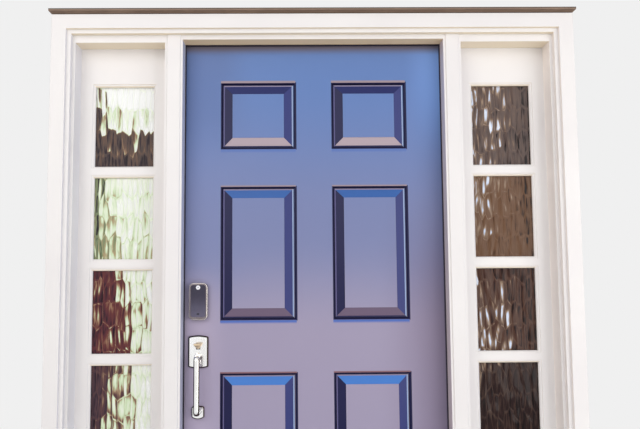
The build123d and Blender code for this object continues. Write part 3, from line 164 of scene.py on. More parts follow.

# The painted view that shows in the ripples: broad depths and finer detail, the edge of the dark post, the
# streaks that nothing is darker than, the brightest level, the rims, the levels that take a lite's painted
# colour, and the clear levels
DEPTHS_SPACING = (0.34, 0.42)
DETAIL_SPACING = (1.1, 0.9)
DETAIL_SHARE = 0.35
POST_EDGE = (0.006, 0.04)
STREAK_CONTRAST = (0.3, 0.7)
STREAK_LEVEL = 0.42
BRIGHTEST = 0.95
RIM_WIDTH = (0.02, 0.12)
RIM_LEVEL = 0.5
BODY_LEVEL = 0.36
BODY_REACH = (0.06, 0.22)
CLEAR_LEVELS = (0.6, 0.9)
CLEARNESS = 0.4

# The ripples as relief on a pane: the seed and size of the swirl, the finer ripples, how high and low they go
# next to their depth, the flat rim of a pane, and what moves the pattern from pane to pane
SWIRL_SEED = 1
SWIRL_SPACING = 0.6
SWIRL = 0.9
FINE_SPACING = 2.1
FINE_SHARE = 0.4
LOWEST_RIPPLE = -0.9
HIGHEST_RIPPLE = 1.4
PANE_RIM = 0.006
PANE_SHIFT = 7.3
PANE_SHARP_ANGLE = math.radians(50)
WELD = 1e-6

# The soft square lamps: the width, the place, the point that it looks at and the colour
LAMPS = {
    "key": (3.2, (-1.9, -3.6, 2.9), (0.0, 0.0, 1.2), (1.0, 0.975, 0.945)),
    "fill": (3.0, (2.8, -3.2, 1.6), (0.0, 0.0, 1.1), (1.0, 0.975, 0.95)),
    "back": (3.2, (1.4, 4.4, 2.8), (0.0, 0.1, 1.1), (1.0, 0.98, 0.96)),
}

# Distances from the door over which the floor fades into the backdrop, and how much of the backdrop is in it
# nearer than that
FLOOR_FADE = (1.2, 3.6)
NEAR_BACKDROP = 0.4

# The directions in which the air's light turns from its low colour to its high one, and to the darker sides
AIR_RISE = (-0.4, 0.6)
AIR_SIDES = (0.45, 0.95)
AIR_SIDE_SHARE = 0.6

# The camera, from a fit to the door's straight edges
IMAGE_WIDTH = 640
FOCAL_PIXELS = 721.0
CENTRE_PIXEL = 305.9
CAMERA_PLACE = (-0.0563, -2.4156, 1.2288)
CAMERA_YAW = -0.01113
CAMERA_PITCH = 0.08993
CAMERA_ROLL = -0.00722
SENSOR_WIDTH = 36.0


def tint(red, green, blue):
    """A screen colour from 0 to 255 as the linear colour that a shader takes."""
    linear = []
    for value in (red, green, blue):
        share = value / 255
        linear.append(share / 12.92 if share <= 0.04045 else ((share + 0.055) / 1.055) ** 2.4)
    return (*linear, 1.0)


def darkened(colour, share):
    """A colour at a share of its light."""
    return tuple(value * share for value in colour[:3]) + (1.0,)


# The light of the air from below, from above and from the sides
AIR_LOW = tint(252, 240, 226)
AIR_HIGH = tint(238, 242, 250)
AIR_SIDE = tint(110, 104, 112)

# The painted view and light that show in each sidelight's glass. A list runs from the lowest lite to the
# highest.
#   middle, edge: where the sidelight's middle and the post behind it are, across
#   base: the level of painted light in a lite's middle
#   slope, rise: how it grows for each metre to the right and from a lite's foot to its head
#   spread, swell: how much the depths behind and a ripple's own swell change it
#   post, lines: the painted shade of the post behind it, and how far a ripple's rim goes to the middle level
#   murks, body: the painted colour of what shows through a lite at the middle levels, and its share
#   tones: the colours from the darkest level to the lightest
LEFT_LIGHT = {
    "middle": -0.661,
    "base": [0.46, 0.53, 0.49, 0.65, 0.64],
    "slope": [3.0, 3.2, 3.2, 1.0, 0.6],
    "rise": [0.0, -0.05, 0.15, 0.05, 1.6],
    "spread": [1.0, 1.0, 1.4, 0.9, 0.9],
    "swell": [0.15, 0.15, 0.15, 0.0, -0.2],
    "edge": -0.7715,
    "post": [0.0, 0.0, 0.1, 0.6, 0.7],
    "lines": 0.45,
    "murks": [tint(78, 60, 72), tint(78, 60, 70), tint(106, 46, 52), tint(150, 178, 128), tint(96, 84, 70)],
    "tones": [(0.0, tint(22, 13, 20)), (0.28, tint(58, 42, 50)), (0.42, tint(96, 62, 54)),
              (0.51, tint(168, 138, 108)), (0.57, tint(196, 214, 176)), (0.7, tint(234, 240, 224)),
              (0.85, tint(250, 252, 250))],
    "body": 0.45,
}
RIGHT_LIGHT = {
    "middle": 0.661,
    "base": [0.15, 0.16, 0.32, 0.39, 0.34],
    "slope": [-0.8, -1.0, -1.5, -0.6, -1.6],
    "rise": [0.2, 0.4, -0.15, 0.15, 0.0],
    "spread": [0.9, 1.0, 1.2, 1.1, 1.3],
    "swell": [0.1, 0.1, 0.1, 0.15, 0.15],
    "edge": 0.7715,
    "post": [0.2, 0.2, 0.1, 0.1, 0.3],
    "lines": 0.6,
    "murks": [tint(34, 18, 20), tint(34, 18, 20), tint(78, 50, 40), tint(116, 84, 60), tint(98, 84, 80)],
    "tones": [(0.0, tint(8, 4, 7)), (0.28, tint(44, 30, 28)), (0.48, tint(98, 78, 66)),
              (0.58, tint(150, 128, 108)), (0.66, tint(200, 214, 236)), (0.78, tint(248, 250, 255))],
    "body": 0.6,
}


# Materials

class Wire:
    """One output of a shader's node, with arithmetic that adds Math nodes."""

    def __init__(self, recipe, socket):
        self.recipe = recipe
        self.socket = socket

    def maths(self, operation, first, second=0.0, clamped=False):
        return self.recipe.add("ShaderNodeMath", {"operation": operation, "use_clamp": clamped},
                               {0: first, 1: second})

    def __add__(self, other):
        return self.maths("ADD", self, other)

    def __radd__(self, other):
        return self.maths("ADD", other, self)

    def __sub__(self, other):
        return self.maths("SUBTRACT", self, other)

    def __rsub__(self, other):
        return self.maths("SUBTRACT", other, self)

    def __mul__(self, other):
        return self.maths("MULTIPLY", self, other)

    def __rmul__(self, other):
        return self.maths("MULTIPLY", other, self)

    def __truediv__(self, other):
        return self.maths("DIVIDE", self, other)

    def __pow__(self, other):
        return self.maths("POWER", self, other)

    def __neg__(self):
        return self.maths("MULTIPLY", self, -1.0)

    def size(self):
        return self.maths("ABSOLUTE", self)

    def clamp(self):
        return self.maths("ADD", self, 0.0, clamped=True)

    def above(self, limit):
        """One over the limit and nought under it."""
        return self.maths("GREATER_THAN", self, limit)

    def greater(self, other):
        return self.maths("MAXIMUM", self, other)

    def lesser(self, other):
        return self.maths("MINIMUM", self, other)

    def ramp(self, low, high):
        """Nought below low, one above high and smooth between."""
        return self.recipe.add("ShaderNodeMapRange", {"interpolation_type": "SMOOTHSTEP"},
                               {"Value": self, "From Min": low, "From Max": high})


class Recipe:
    """The shader of a new material or world, with the one method that adds a node to it."""

    def __init__(self, owner):
        owner.use_nodes = True
        self.owner = owner
        self.tree = owner.node_tree
        self.tree.nodes.clear()

    def add(self, kind, settings=None, sockets=None, output=0):
        """A new node's output, or nothing where the node has none."""
        node = self.tree.nodes.new(kind)
        for key, value in (settings or {}).items():
            if key in ("stops", "steps"):
                ramp = node.color_ramp
                ramp.interpolation = "CONSTANT" if key == "steps" else "LINEAR"
                while len(ramp.elements) < len(value):
                    ramp.elements.new(0.5)
                for element, (place, colour) in zip(ramp.elements, value):
                    element.position = place
                    element.color = colour
            else:
                setattr(node, key, value)
        for key, value in (sockets or {}).items():
            if isinstance(value, Wire):
                self.tree.links.new(value.socket, node.inputs[key])
            else:
                node.inputs[key].default_value = value
        return Wire(self, node.outputs[output]) if node.outputs else None

    def place(self, output="Object"):
        """Where a point of the surface is on its piece, or which way the surface faces there."""
        return self.add("ShaderNodeTexCoord", output=output)

    def parts(self, vector):
        """The three components of a vector."""
        node = self.add("ShaderNodeSeparateXYZ", sockets={0: vector}).socket.node
        return [Wire(self, socket) for socket in node.outputs]

    def stretched(self, vector, scale):
        return self.add("ShaderNodeMapping", sockets={"Vector": vector, "Scale": scale})

    def noise(self, vector, scale=1.0, detail=3.0, roughness=0.5, distortion=0.0):
        return self.add("ShaderNodeTexNoise", sockets={"Vector": vector, "Scale": scale, "Detail": detail,
                                                       "Roughness": roughness, "Distortion": distortion})

    def blend(self, share, first, second):
        """A colour between two others."""
        return self.add("ShaderNodeMix", {"data_type": "RGBA"}, {0: share, 6: first, 7: second}, output=2)

    def point(self, first, second):
        """A flat vector from two numbers."""
        return self.add("ShaderNodeCombineXYZ", sockets={0: first, 1: second})

    def cells(self, vector, feature, output=0, **sockets):
        """Flat scattered cells."""
        settings = {"voronoi_dimensions": "2D", "feature": feature}
        sockets = {"Vector": vector, "Scale": 1.0, "Randomness": CELL_SCATTER, **sockets}
        return self.add("ShaderNodeTexVoronoi", settings, sockets, output)

    def seen(self):
        """One for the rays that the camera sends, also by way of gloss or glass, and nought for others."""
        rays = self.add("ShaderNodeLightPath").socket.node.outputs
        kinds = [Wire(self, rays["Is " + kind + " Ray"]) for kind in ("Camera", "Glossy", "Transmission")]
        return (kinds[0] + kinds[1] + kinds[2]).clamp()

    def bump(self, height, strength, distance):
        return self.add("ShaderNodeBump", sockets={"Height": height, "Strength": strength,
                                                   "Distance": distance})

    def finish(self, **sockets):
        """The surface shader; a socket's name is written with underscores for spaces."""
        named = {key.replace("_", " "): value for key, value in sockets.items()}
        return self.close(self.add("ShaderNodeBsdfPrincipled", sockets=named))

    def close(self, shader, output="ShaderNodeOutputMaterial"):
        """Links the shader to the output and gives back the material or world."""
        self.add(output, sockets={"Surface": shader})
        return self.owner


def new_material(name):
    return Recipe(bpy.data.materials.new(name))


def frame_paint(name, brushed, look, right_face_light, left_face_light, underside_light):
    """Satin white paint brushed along a member, with painted light on its sides and underside: cooler where
    it faces right, warmer where it faces left, and warm bounce light where it faces down.
    """
    mix = new_material(name)
    here = mix.place()
    right, _, up = mix.parts(mix.place("Normal"))
    height = mix.parts(here)[2]
    brush = mix.noise(mix.stretched(here, brushed), detail=4.0, roughness=0.6)
    patches = mix.noise(here, scale=3.0, detail=2.0)
    dust = (1.0 - height.ramp(*DUSTY_HEIGHTS)) * patches.ramp(0.35, 0.7) * 0.35
    colour = mix.blend(patches.ramp(0.3, 0.7) * 0.5, look.white, look.white_shade)
    # Painted light: cooler or warmer on the sides, warm bounce light underneath
    colour = mix.blend(right.ramp(*SIDE_TURN) * SIDE_SHARE, colour, right_face_light)
    colour = mix.blend((-right).ramp(*SIDE_TURN) * SIDE_SHARE, colour, left_face_light)
    colour = mix.blend((-up).ramp(*UNDER_TURN), colour, underside_light)
    colour = mix.blend(dust, colour, look.dust_tint)
    return mix.finish(Base_Color=colour, Roughness=0.36 + brush * 0.12, Coat_Weight=0.08,
                      Coat_Roughness=0.2, Normal=mix.bump(brush, strength=0.12, distance=0.0006))


# How far outside the nearest panel's opening a point of the leaf lies, and whether it is at an upright side,
# in the right half, in the upper half, and straight over or under the opening
PanelEdges = namedtuple("PanelEdges", "past upright on_right on_top in_line")


def panel_edges(across, height):
    """How far a point lies outside the nearest panel's opening, and at which of its sides."""
    column = across.size() - PANEL_COLUMN
    row, reach = PANEL_ROWS[0]
    for (low_middle, low_half), (high_middle, high_half) in zip(PANEL_ROWS, PANEL_ROWS[1:]):
        higher = height.above((low_middle + low_half + high_middle - high_half) / 2)
        row = higher * (high_middle - low_middle) + row
        reach = higher * (high_half - low_half) + reach
    level = height - row
    beside = column.size() - PANEL_HALF_WIDTH
    beyond = level.size() - reach
    upright = (beside - beyond).ramp(*MITRE)
    on_right = (column * (across.ramp(*SIDE_CHANGE) - 0.5)).ramp(*SIDE_CHANGE)
    in_line = (1.0 - upright) * (1.0 - beside.ramp(*SIDE_CHANGE))
    return PanelEdges(beside.greater(beyond), upright, on_right, level.ramp(*SIDE_CHANGE), in_line)


def band(distance, low, high):
    """One between two distances, with soft ends."""
    started = distance.ramp(low - BAND_START_BLUR, low + BAND_START_BLUR)
    return started * (1.0 - distance.ramp(high - BAND_END_BLUR, high + BAND_END_BLUR))


def field_colour(mix, look, across, height, drift):
    """The leaf's slate paint with a painted reflection, from grey low down to blue high up, and its painted
    patches of light and shade at the sides.
    """
    level = height + drift * FIELD_DRIFT
    colour = mix.blend(level.ramp(*LOW_TO_MIDDLE), look.low_field, look.middle_field)
    colour = mix.blend(level.ramp(*MIDDLE_TO_HIGH), colour, look.high_field)
    for name, side, reach, heights, over, share in SIDE_PATCHES:
        rising = height.ramp(*heights)
        patch = (across * side).ramp(*reach) * (rising if over else 1.0 - rising)
        colour = mix.blend(patch * share, colour, getattr(look, name))
    return colour


def bevelled(mix, look, colour, height, edges):
    """The leaf's paint with painted light on the panels' bevels by the way that each faces: painted shade on
    the sides, painted sky reflection or shade on the top bevels and painted warm light on the bottom ones.
    """
    right, _, up = mix.parts(mix.place("Normal"))
    inside = 1.0 - edges.past.ramp(*MOULDING_END)
    top_row = height.ramp(*TOP_ROW)
    top = mix.blend(height.ramp(*MOULDING_RISE) * TOP_BEVEL_SHARE, look.low_top_bevel_sky_reflection, look.high_top_bevel_shade)
    top = mix.blend(top_row, top, look.high_top_bevel_shade)
    bottom = mix.blend(top_row, look.low_bottom_bevel_bounce, look.high_bottom_bevel_bounce)
    side = mix.blend((right * 2.0 + 0.5).clamp(), look.left_bevel_shade, look.right_bevel_shade)
    colour = mix.blend(right.size().ramp(*BEVEL_TURN) * inside, colour, side)
    colour = mix.blend(up.ramp(*BEVEL_TURN) * inside, colour, top)
    return mix.blend((-up).ramp(*BEVEL_TURN) * inside, colour, bottom)


def lined(mix, look, colour, height, edges):
    """The leaf's paint with the painted lines round its panels: painted light and shade on the ledge, painted
    shade in the groove, and painted highlights on the flat face just over and under each opening.
    """
    ledge_side = mix.blend(edges.on_right, look.ledge_left_shade, look.ledge_right_glint)
    ledge_level = mix.blend(edges.on_top, look.ledge_foot_shade, look.ledge_head_glint)
    ledge = mix.blend(edges.upright, ledge_level, ledge_side)
    colour = mix.blend(band(edges.past, *LEDGE_BAND), colour, ledge)
    spread = edges.upright * edges.on_right * GROOVE_SPREAD
    colour = mix.blend(band(edges.past - spread, *GROOVE_BAND), colour, look.groove)
    top_row = height.ramp(*TOP_ROW)
    # Painted highlight on the flat face just over each opening, and a painted sky reflection just under it
    past_head_glint = edges.past - (top_row * TOP_ROW_EXTRA + HEAD_GLINT_WIDTH)
    head_glint_mask = edges.in_line * edges.on_top * edges.past.ramp(*HEAD_GLINT_START)
    head_glint_mask = head_glint_mask * (1.0 - past_head_glint.ramp(-HEAD_GLINT_BLUR, HEAD_GLINT_BLUR))
    glint = mix.blend(height.ramp(*MOULDING_RISE), look.low_glint, look.high_glint)
    colour = mix.blend(head_glint_mask, colour, glint)
    foot_glint_mask = edges.in_line * (1.0 - edges.on_top) * (1.0 - top_row * TOP_ROW_FOOT_LOSS)
    foot_glint_mask = foot_glint_mask * edges.past.ramp(*FOOT_GLINT_START) * (1.0 - edges.past.ramp(*FOOT_GLINT_END))
    return mix.blend(foot_glint_mask * FOOT_GLINT_SHARE, colour, look.foot_glint)


def door_paint(look):
    """Satin slate blue paint with a painted reflection that is bluer high up and greyer low down, and painted
    light, shade and highlights in and round the mouldings.
    """
    mix = new_material("door_paint")
    here = mix.place()
    across, _, height = mix.parts(here)
    drift = mix.noise(here, scale=1.7, detail=2.0) - 0.5
    edges = panel_edges(across, height)
    colour = field_colour(mix, look, across, height, drift)
    colour = bevelled(mix, look, colour, height, edges)
    colour = lined(mix, look, colour, height, edges)
    colour = mix.blend(height.ramp(*UNDER_HEAD) * UNDER_HEAD_SHARE, colour, look.head_shade)
    peel = mix.noise(mix.stretched(here, SPRAYED), scale=420.0, detail=2.0)
    return mix.finish(Base_Color=colour, Roughness=0.42 + drift * 0.1, Specular_IOR_Level=0.22,
                      Coat_Weight=0.05, Coat_Roughness=0.15,
                      Normal=mix.bump(peel, strength=0.08, distance=0.0004))


def handleset_metal(name, look, front_turn, upward=0.0):
    """Nickel with a painted reflection: bright where it faces the street, with painted shade round its edges
    and sides; upward is how much painted sky reflection its upper side takes next to its front."""
    mix = new_material(name)
    here = mix.place()
    _, outward, up = mix.parts(mix.place("Normal"))
    # Painted reflection: bright nickel on the front and, by upward, on the upper side, painted shade
    # elsewhere
    facing = (outward.size().ramp(*front_turn) + up.ramp(0.2, 0.6) * upward).clamp()
    lines = mix.noise(mix.stretched(here, DRAWN_UP), roughness=0.6)
    cloud = mix.noise(mix.stretched(here, CLOUDED_UP), detail=2.0).ramp(0.35, 0.7)
    front = mix.blend(cloud * 0.25, look.bright, look.bright_shade)
    colour = mix.blend(facing, look.edge_shade_and_mottle, front)
    return mix.finish(Base_Color=colour, Metallic=1.0, Roughness=0.14 + lines * 0.1,
                      Normal=mix.bump(lines, strength=0.04, distance=0.0002))


def drawn_metal(name, colour, roughness, strength):
    """A metal with fine upright lines."""
    mix = new_material(name)
    here = mix.place()
    lines = mix.noise(mix.stretched(here, DRAWN_UP), roughness=0.6)
    cloud = mix.noise(here, scale=22.0, detail=2.0)
    colour = mix.blend(cloud.ramp(0.35, 0.7) * 0.6, tuple(colour), darkened(colour, 0.82))
    return mix.finish(Base_Color=colour, Metallic=1.0, Roughness=roughness + lines * 0.1,
                      Normal=mix.bump(lines, strength, distance=0.0002))


def bezel_metal(look):
    """Grey nickel ring with a painted highlight on its rounded edge and painted shade on its walls."""
    mix = new_material("bezel_nickel")
    here = mix.place()
    facing = mix.parts(mix.place("Normal"))[1].size()
    cloud = mix.noise(here, scale=60.0, detail=2.0)
    front = mix.blend(cloud.ramp(0.35, 0.65) * 0.3, look.bezel, look.edge_shade_and_mottle)
    # Painted highlight on the ring's rounded edge, then painted shade on its walls
    colour = mix.blend(1.0 - facing.ramp(0.9, 0.99), front, look.bezel_glint)
    colour = mix.blend(1.0 - facing.ramp(0.35, 0.6), colour, look.edge_shade_and_mottle)
    return mix.finish(Base_Color=colour, Metallic=0.8, Roughness=0.2 + cloud * 0.1,
                      Normal=mix.bump(cloud, strength=0.03, distance=0.0002))


def keypad_glass(look):
    """Touch panel: dark above, paler below, with painted shade in its slot and on its rim."""
    mix = new_material("touch_glass")
    here = mix.place()
    _, deep, height = mix.parts(here)
    grain = mix.noise(here, scale=60.0, detail=2.0)
    level = (height + (grain - 0.5) * 0.02).ramp(*KEYPAD_DARKENS)
    colour = mix.blend(level, look.keypad_low, look.keypad_high)
    colour = mix.blend(deep.ramp(*KEYPAD_SLOT), colour, look.keypad_slot_shade)
    return mix.finish(Base_Color=colour, Roughness=0.18 + grain * 0.08, Specular_IOR_Level=0.3,
                      Normal=mix.bump(grain, strength=0.03, distance=0.0002))


def coated_metal(look):
    """Dark bronze coating on the drip cap, dusty on top, with painted shadow along its foot and brow."""
    mix = new_material("cap_coating")
    here = mix.place()
    up = mix.parts(mix.place("Normal"))[2]
    height = mix.parts(here)[2]
    grime = mix.noise(mix.stretched(here, GRIMY), scale=9.0, detail=4.0, roughness=0.65)
    colour = mix.blend(grime.ramp(0.45, 0.75) * 0.5, look.bronze, look.bronze_worn)
    # Painted shadow at the foot and brow, the coating's own colour between
    middle = height.ramp(*CAP_FOOT) * (1.0 - height.ramp(*CAP_BROW))
    colour = mix.blend(middle, look.bronze_edge_shade, colour)
    colour = mix.blend(up.ramp(0.2, 0.9) * 0.35, colour, look.dust_tint)
    return mix.finish(Base_Color=colour, Metallic=0.15, Roughness=0.42 + grime * 0.2,
                      Normal=mix.bump(grime, strength=0.1, distance=0.0004))


def sill_metal(look):
    """Bare aluminium deck, scuffed where it is stepped on."""
    mix = new_material("sill_aluminium")
    here = mix.place()
    scuff = mix.noise(mix.stretched(here, SCUFFED), scale=2.0, detail=4.0, roughness=0.7)
    wear = mix.noise(here, scale=7.0)
    colour = mix.blend(wear.ramp(0.4, 0.7) * 0.6, look.aluminium, look.aluminium_worn)
    return mix.finish(Base_Color=colour, Metallic=1.0, Roughness=0.32 + scuff * 0.25,
                      Normal=mix.bump(scuff, strength=0.15, distance=0.0003))


def grained_wood(name, light, dark, roughness):
    """Timber or composite with a grain that runs along X."""
    mix = new_material(name)
    here = mix.stretched(mix.place(), GRAINED_ACROSS)
    grain = mix.noise(here, scale=2.0, detail=5.0, roughness=0.6, distortion=1.2)
    colour = mix.blend(grain.ramp(0.35, 0.65), light, dark)
    return mix.finish(Base_Color=colour, Roughness=roughness + grain * 0.15,
                      Normal=mix.bump(grain, strength=0.2, distance=0.0005))


def speckled(name, colour, roughness, speckle, scale):
    """Plastic, rubber or foam with a fine speckle."""
    mix = new_material(name)
    grain = mix.noise(mix.place(), scale, detail=2.0)
    colour = mix.blend(grain.ramp(0.4, 0.65) * speckle, colour, darkened(colour, 0.75))
    return mix.finish(Base_Color=colour, Roughness=roughness + grain * 0.08,
                      Normal=mix.bump(grain, strength=0.1, distance=0.0002))


def by_lite(height, values):
    """A number that steps from lite to lite, the lowest first."""
    total = values[0]
    for edge, below, above in zip(LITE_STEPS, values, values[1:]):
        total = height.above(edge) * (above - below) + total
    return total


# The ripple at a point of the glass: the place that shows in it, counted in ripples across and up, how far
# the point is above the ripple's middle, how much the ripple swells there, and how far away its rim is
Ripple = namedtuple("Ripple", "across height upward swell rim")


def ripple_at(mix, here, sizes):
    """The ripple that a point of the glass lies on."""
    across, _, height = mix.parts(here)
    sway = mix.noise(mix.stretched(here, SWAYING), detail=1.0) - 0.5
    point = mix.point(across / sizes.width + sway * SWAY, height / sizes.length + CELL_START)
    place = mix.parts(point)
    heart = mix.parts(mix.cells(point, "SMOOTH_F1", output=2, Smoothness=CELL_BLEND))
    rim = mix.cells(point, "DISTANCE_TO_EDGE")
    off = [place[axis] - heart[axis] for axis in (0, 1)]
    swell = 1.0 - (off[0] * off[0] + off[1] * off[1]) * SWELL_FALL
    shown = [heart[axis] - off[axis] * TURNED[axis] for axis in (0, 1)]
    return Ripple(shown[0], shown[1], off[1], swell, rim)


def light_level(mix, here, side, sizes, ripple):
    """How much painted light the glass shows at a point, from nought to one."""
    height = mix.parts(here)[2]
    broad, fine = [mix.point(ripple.across * across, ripple.height * upward)
                   for across, upward in (DEPTHS_SPACING, DETAIL_SPACING)]
    depths = mix.noise(broad, detail=1.5, distortion=0.3)
    detail = mix.noise(fine, detail=2.0, roughness=0.55)
    across = ripple.across * sizes.width
    rise = (height - by_lite(height, LITE_MIDDLES)) / LITE_HEIGHT
    rise = rise - ripple.upward * (LITE_TURNED * sizes.length / LITE_HEIGHT)
    level = by_lite(height, side["base"]) + (across - side["middle"]) * by_lite(height, side["slope"])
    level = level + rise * by_lite(height, side["rise"])
    level = level + (depths - 0.5) * by_lite(height, side["spread"]) + (detail - 0.5) * DETAIL_SHARE
    level = level + (ripple.swell - SWELL_MIDDLE) * by_lite(height, side["swell"])
    past_post = (across - side["edge"]).size().ramp(*POST_EDGE)
    level = level - (1.0 - past_post) * by_lite(height, side["post"])
    streaks = mix.noise(mix.stretched(here, STREAKED), detail=2.0)
    level = level.greater(streaks.ramp(*STREAK_CONTRAST) * STREAK_LEVEL).lesser(BRIGHTEST)
    lines = 1.0 - ripple.rim.ramp(*RIM_WIDTH)
    return level + lines * (RIM_LEVEL - level) * side["lines"]


def rippled_glass(name, side, sizes):
    """Water glass with a painted view: each long ripple shows a small turned, painted picture of the depths
    behind it.
    """
    mix = new_material(name)
    here = mix.place()
    ripple = ripple_at(mix, here, sizes)
    level = light_level(mix, here, side, sizes, ripple)
    glazed = (mix.parts(here)[2] - LITE_FOOT + HALF_MUNTIN) / GLAZED_HEIGHT
    steps = [(number / LITES, colour) for number, colour in enumerate(side["murks"])]
    murk = mix.add("ShaderNodeValToRGB", {"steps": steps}, {0: glazed})
    colour = mix.add("ShaderNodeValToRGB", {"stops": side["tones"]}, {0: level})
    body = 1.0 - (level - BODY_LEVEL).size().ramp(*BODY_REACH)
    colour = mix.blend(body * side["body"], colour, murk)
    return mix.finish(Base_Color=colour, Roughness=0.08, Alpha=1.0 - level.ramp(*CLEAR_LEVELS) * CLEARNESS,
                      Coat_Weight=0.1, Coat_Roughness=0.03, Specular_IOR_Level=0.08, IOR=1.5,
                      Normal=mix.bump(ripple.swell, strength=0.4, distance=0.0015))


# Geometry

def new_object(name, form):
    """Turns a bmesh into an object of the scene."""
    mesh = bpy.data.meshes.new(name)
    form.to_mesh(mesh)
    form.free()
    piece = bpy.data.objects.new(name, mesh)
    bpy.context.scene.collection.objects.link(piece)
    return piece


def dress(names, material):
    """Gives CAD nodes their material."""
    for name in names:
        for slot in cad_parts[name].material_slots:
            slot.material = material


def pane_boxes(node):
    """The lowest and highest corners of each pane in a node, from its separate solids."""
    solids = bmesh.new()
    solids.from_mesh(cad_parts[node].data)
    bmesh.ops.remove_doubles(solids, verts=solids.verts, dist=WELD)
    left = set(solids.verts)
    boxes = []
    while left:
        reached = [left.pop()]
        island = []
        while reached:
            vert = reached.pop()
            island.append(vert.co.copy())
            for edge in vert.link_edges:
                other = edge.other_vert(vert)
                if other in left:
                    left.remove(other)
                    reached.append(other)
        low = Vector([min(point[axis] for point in island) for axis in range(3)])
        high = Vector([max(point[axis] for point in island) for axis in range(3)])
        boxes.append((low, high))
    solids.free()
    return sorted(boxes, key=lambda box: box[0].z)


def add_pane(form, low, high, sizes):
    """One pane: a rippled outer face, a flat inner face and edges between."""
    size = high - low
    middle = (low + high) / 2
    turn = Matrix.Rotation(math.radians(90), 4, "X")
    scale = Matrix.Diagonal((size.x / 2, size.z / 2, 1.0, 1.0))
    grid = bmesh.ops.create_grid(form, x_segments=sizes.columns, y_segments=sizes.rows, size=1.0,
                                 matrix=Matrix.Translation((middle.x, low.y, middle.z)) @ turn @ scale)
    front = set(grid["verts"])
    rim = [edge for edge in form.edges if edge.verts[0] in front and len(edge.link_faces) == 1]
    wall = bmesh.ops.extrude_edge_only(form, edges=rim)["geom"]
    back_edge = [item for item in wall if isinstance(item, bmesh.types.BMVert)]
    for vert in back_edge:
        vert.co.y = high.y
    new_rim = [item for item in wall if isinstance(item, bmesh.types.BMEdge)
               and all(vert in back_edge for vert in item.verts)]
    bmesh.ops.contextual_create(form, geom=new_rim)
    for vert in front:
        place = Vector((vert.co.x / sizes.width, PANE_SHIFT * middle.z, vert.co.z / sizes.length))
        swirl = noise.noise_vector(place * SWIRL_SPACING) * SWIRL
        height = noise.noise(place + swirl) + FINE_SHARE * noise.noise(place * FINE_SPACING + swirl)
        height = max(LOWEST_RIPPLE, min(HIGHEST_RIPPLE, height))
        to_rim = min(vert.co.x - low.x, high.x - vert.co.x, vert.co.z - low.z, high.z - vert.co.z)
        vert.co.y = low.y + sizes.depth * (1.0 + min(1.0, to_rim / PANE_RIM) * height)


# Sizes and colours that a user would change

def colour_property(name, description, default):
    return FloatVectorProperty(name=name, description=description, subtype="COLOR", size=4,
                               min=0.0, max=1.0, default=default)


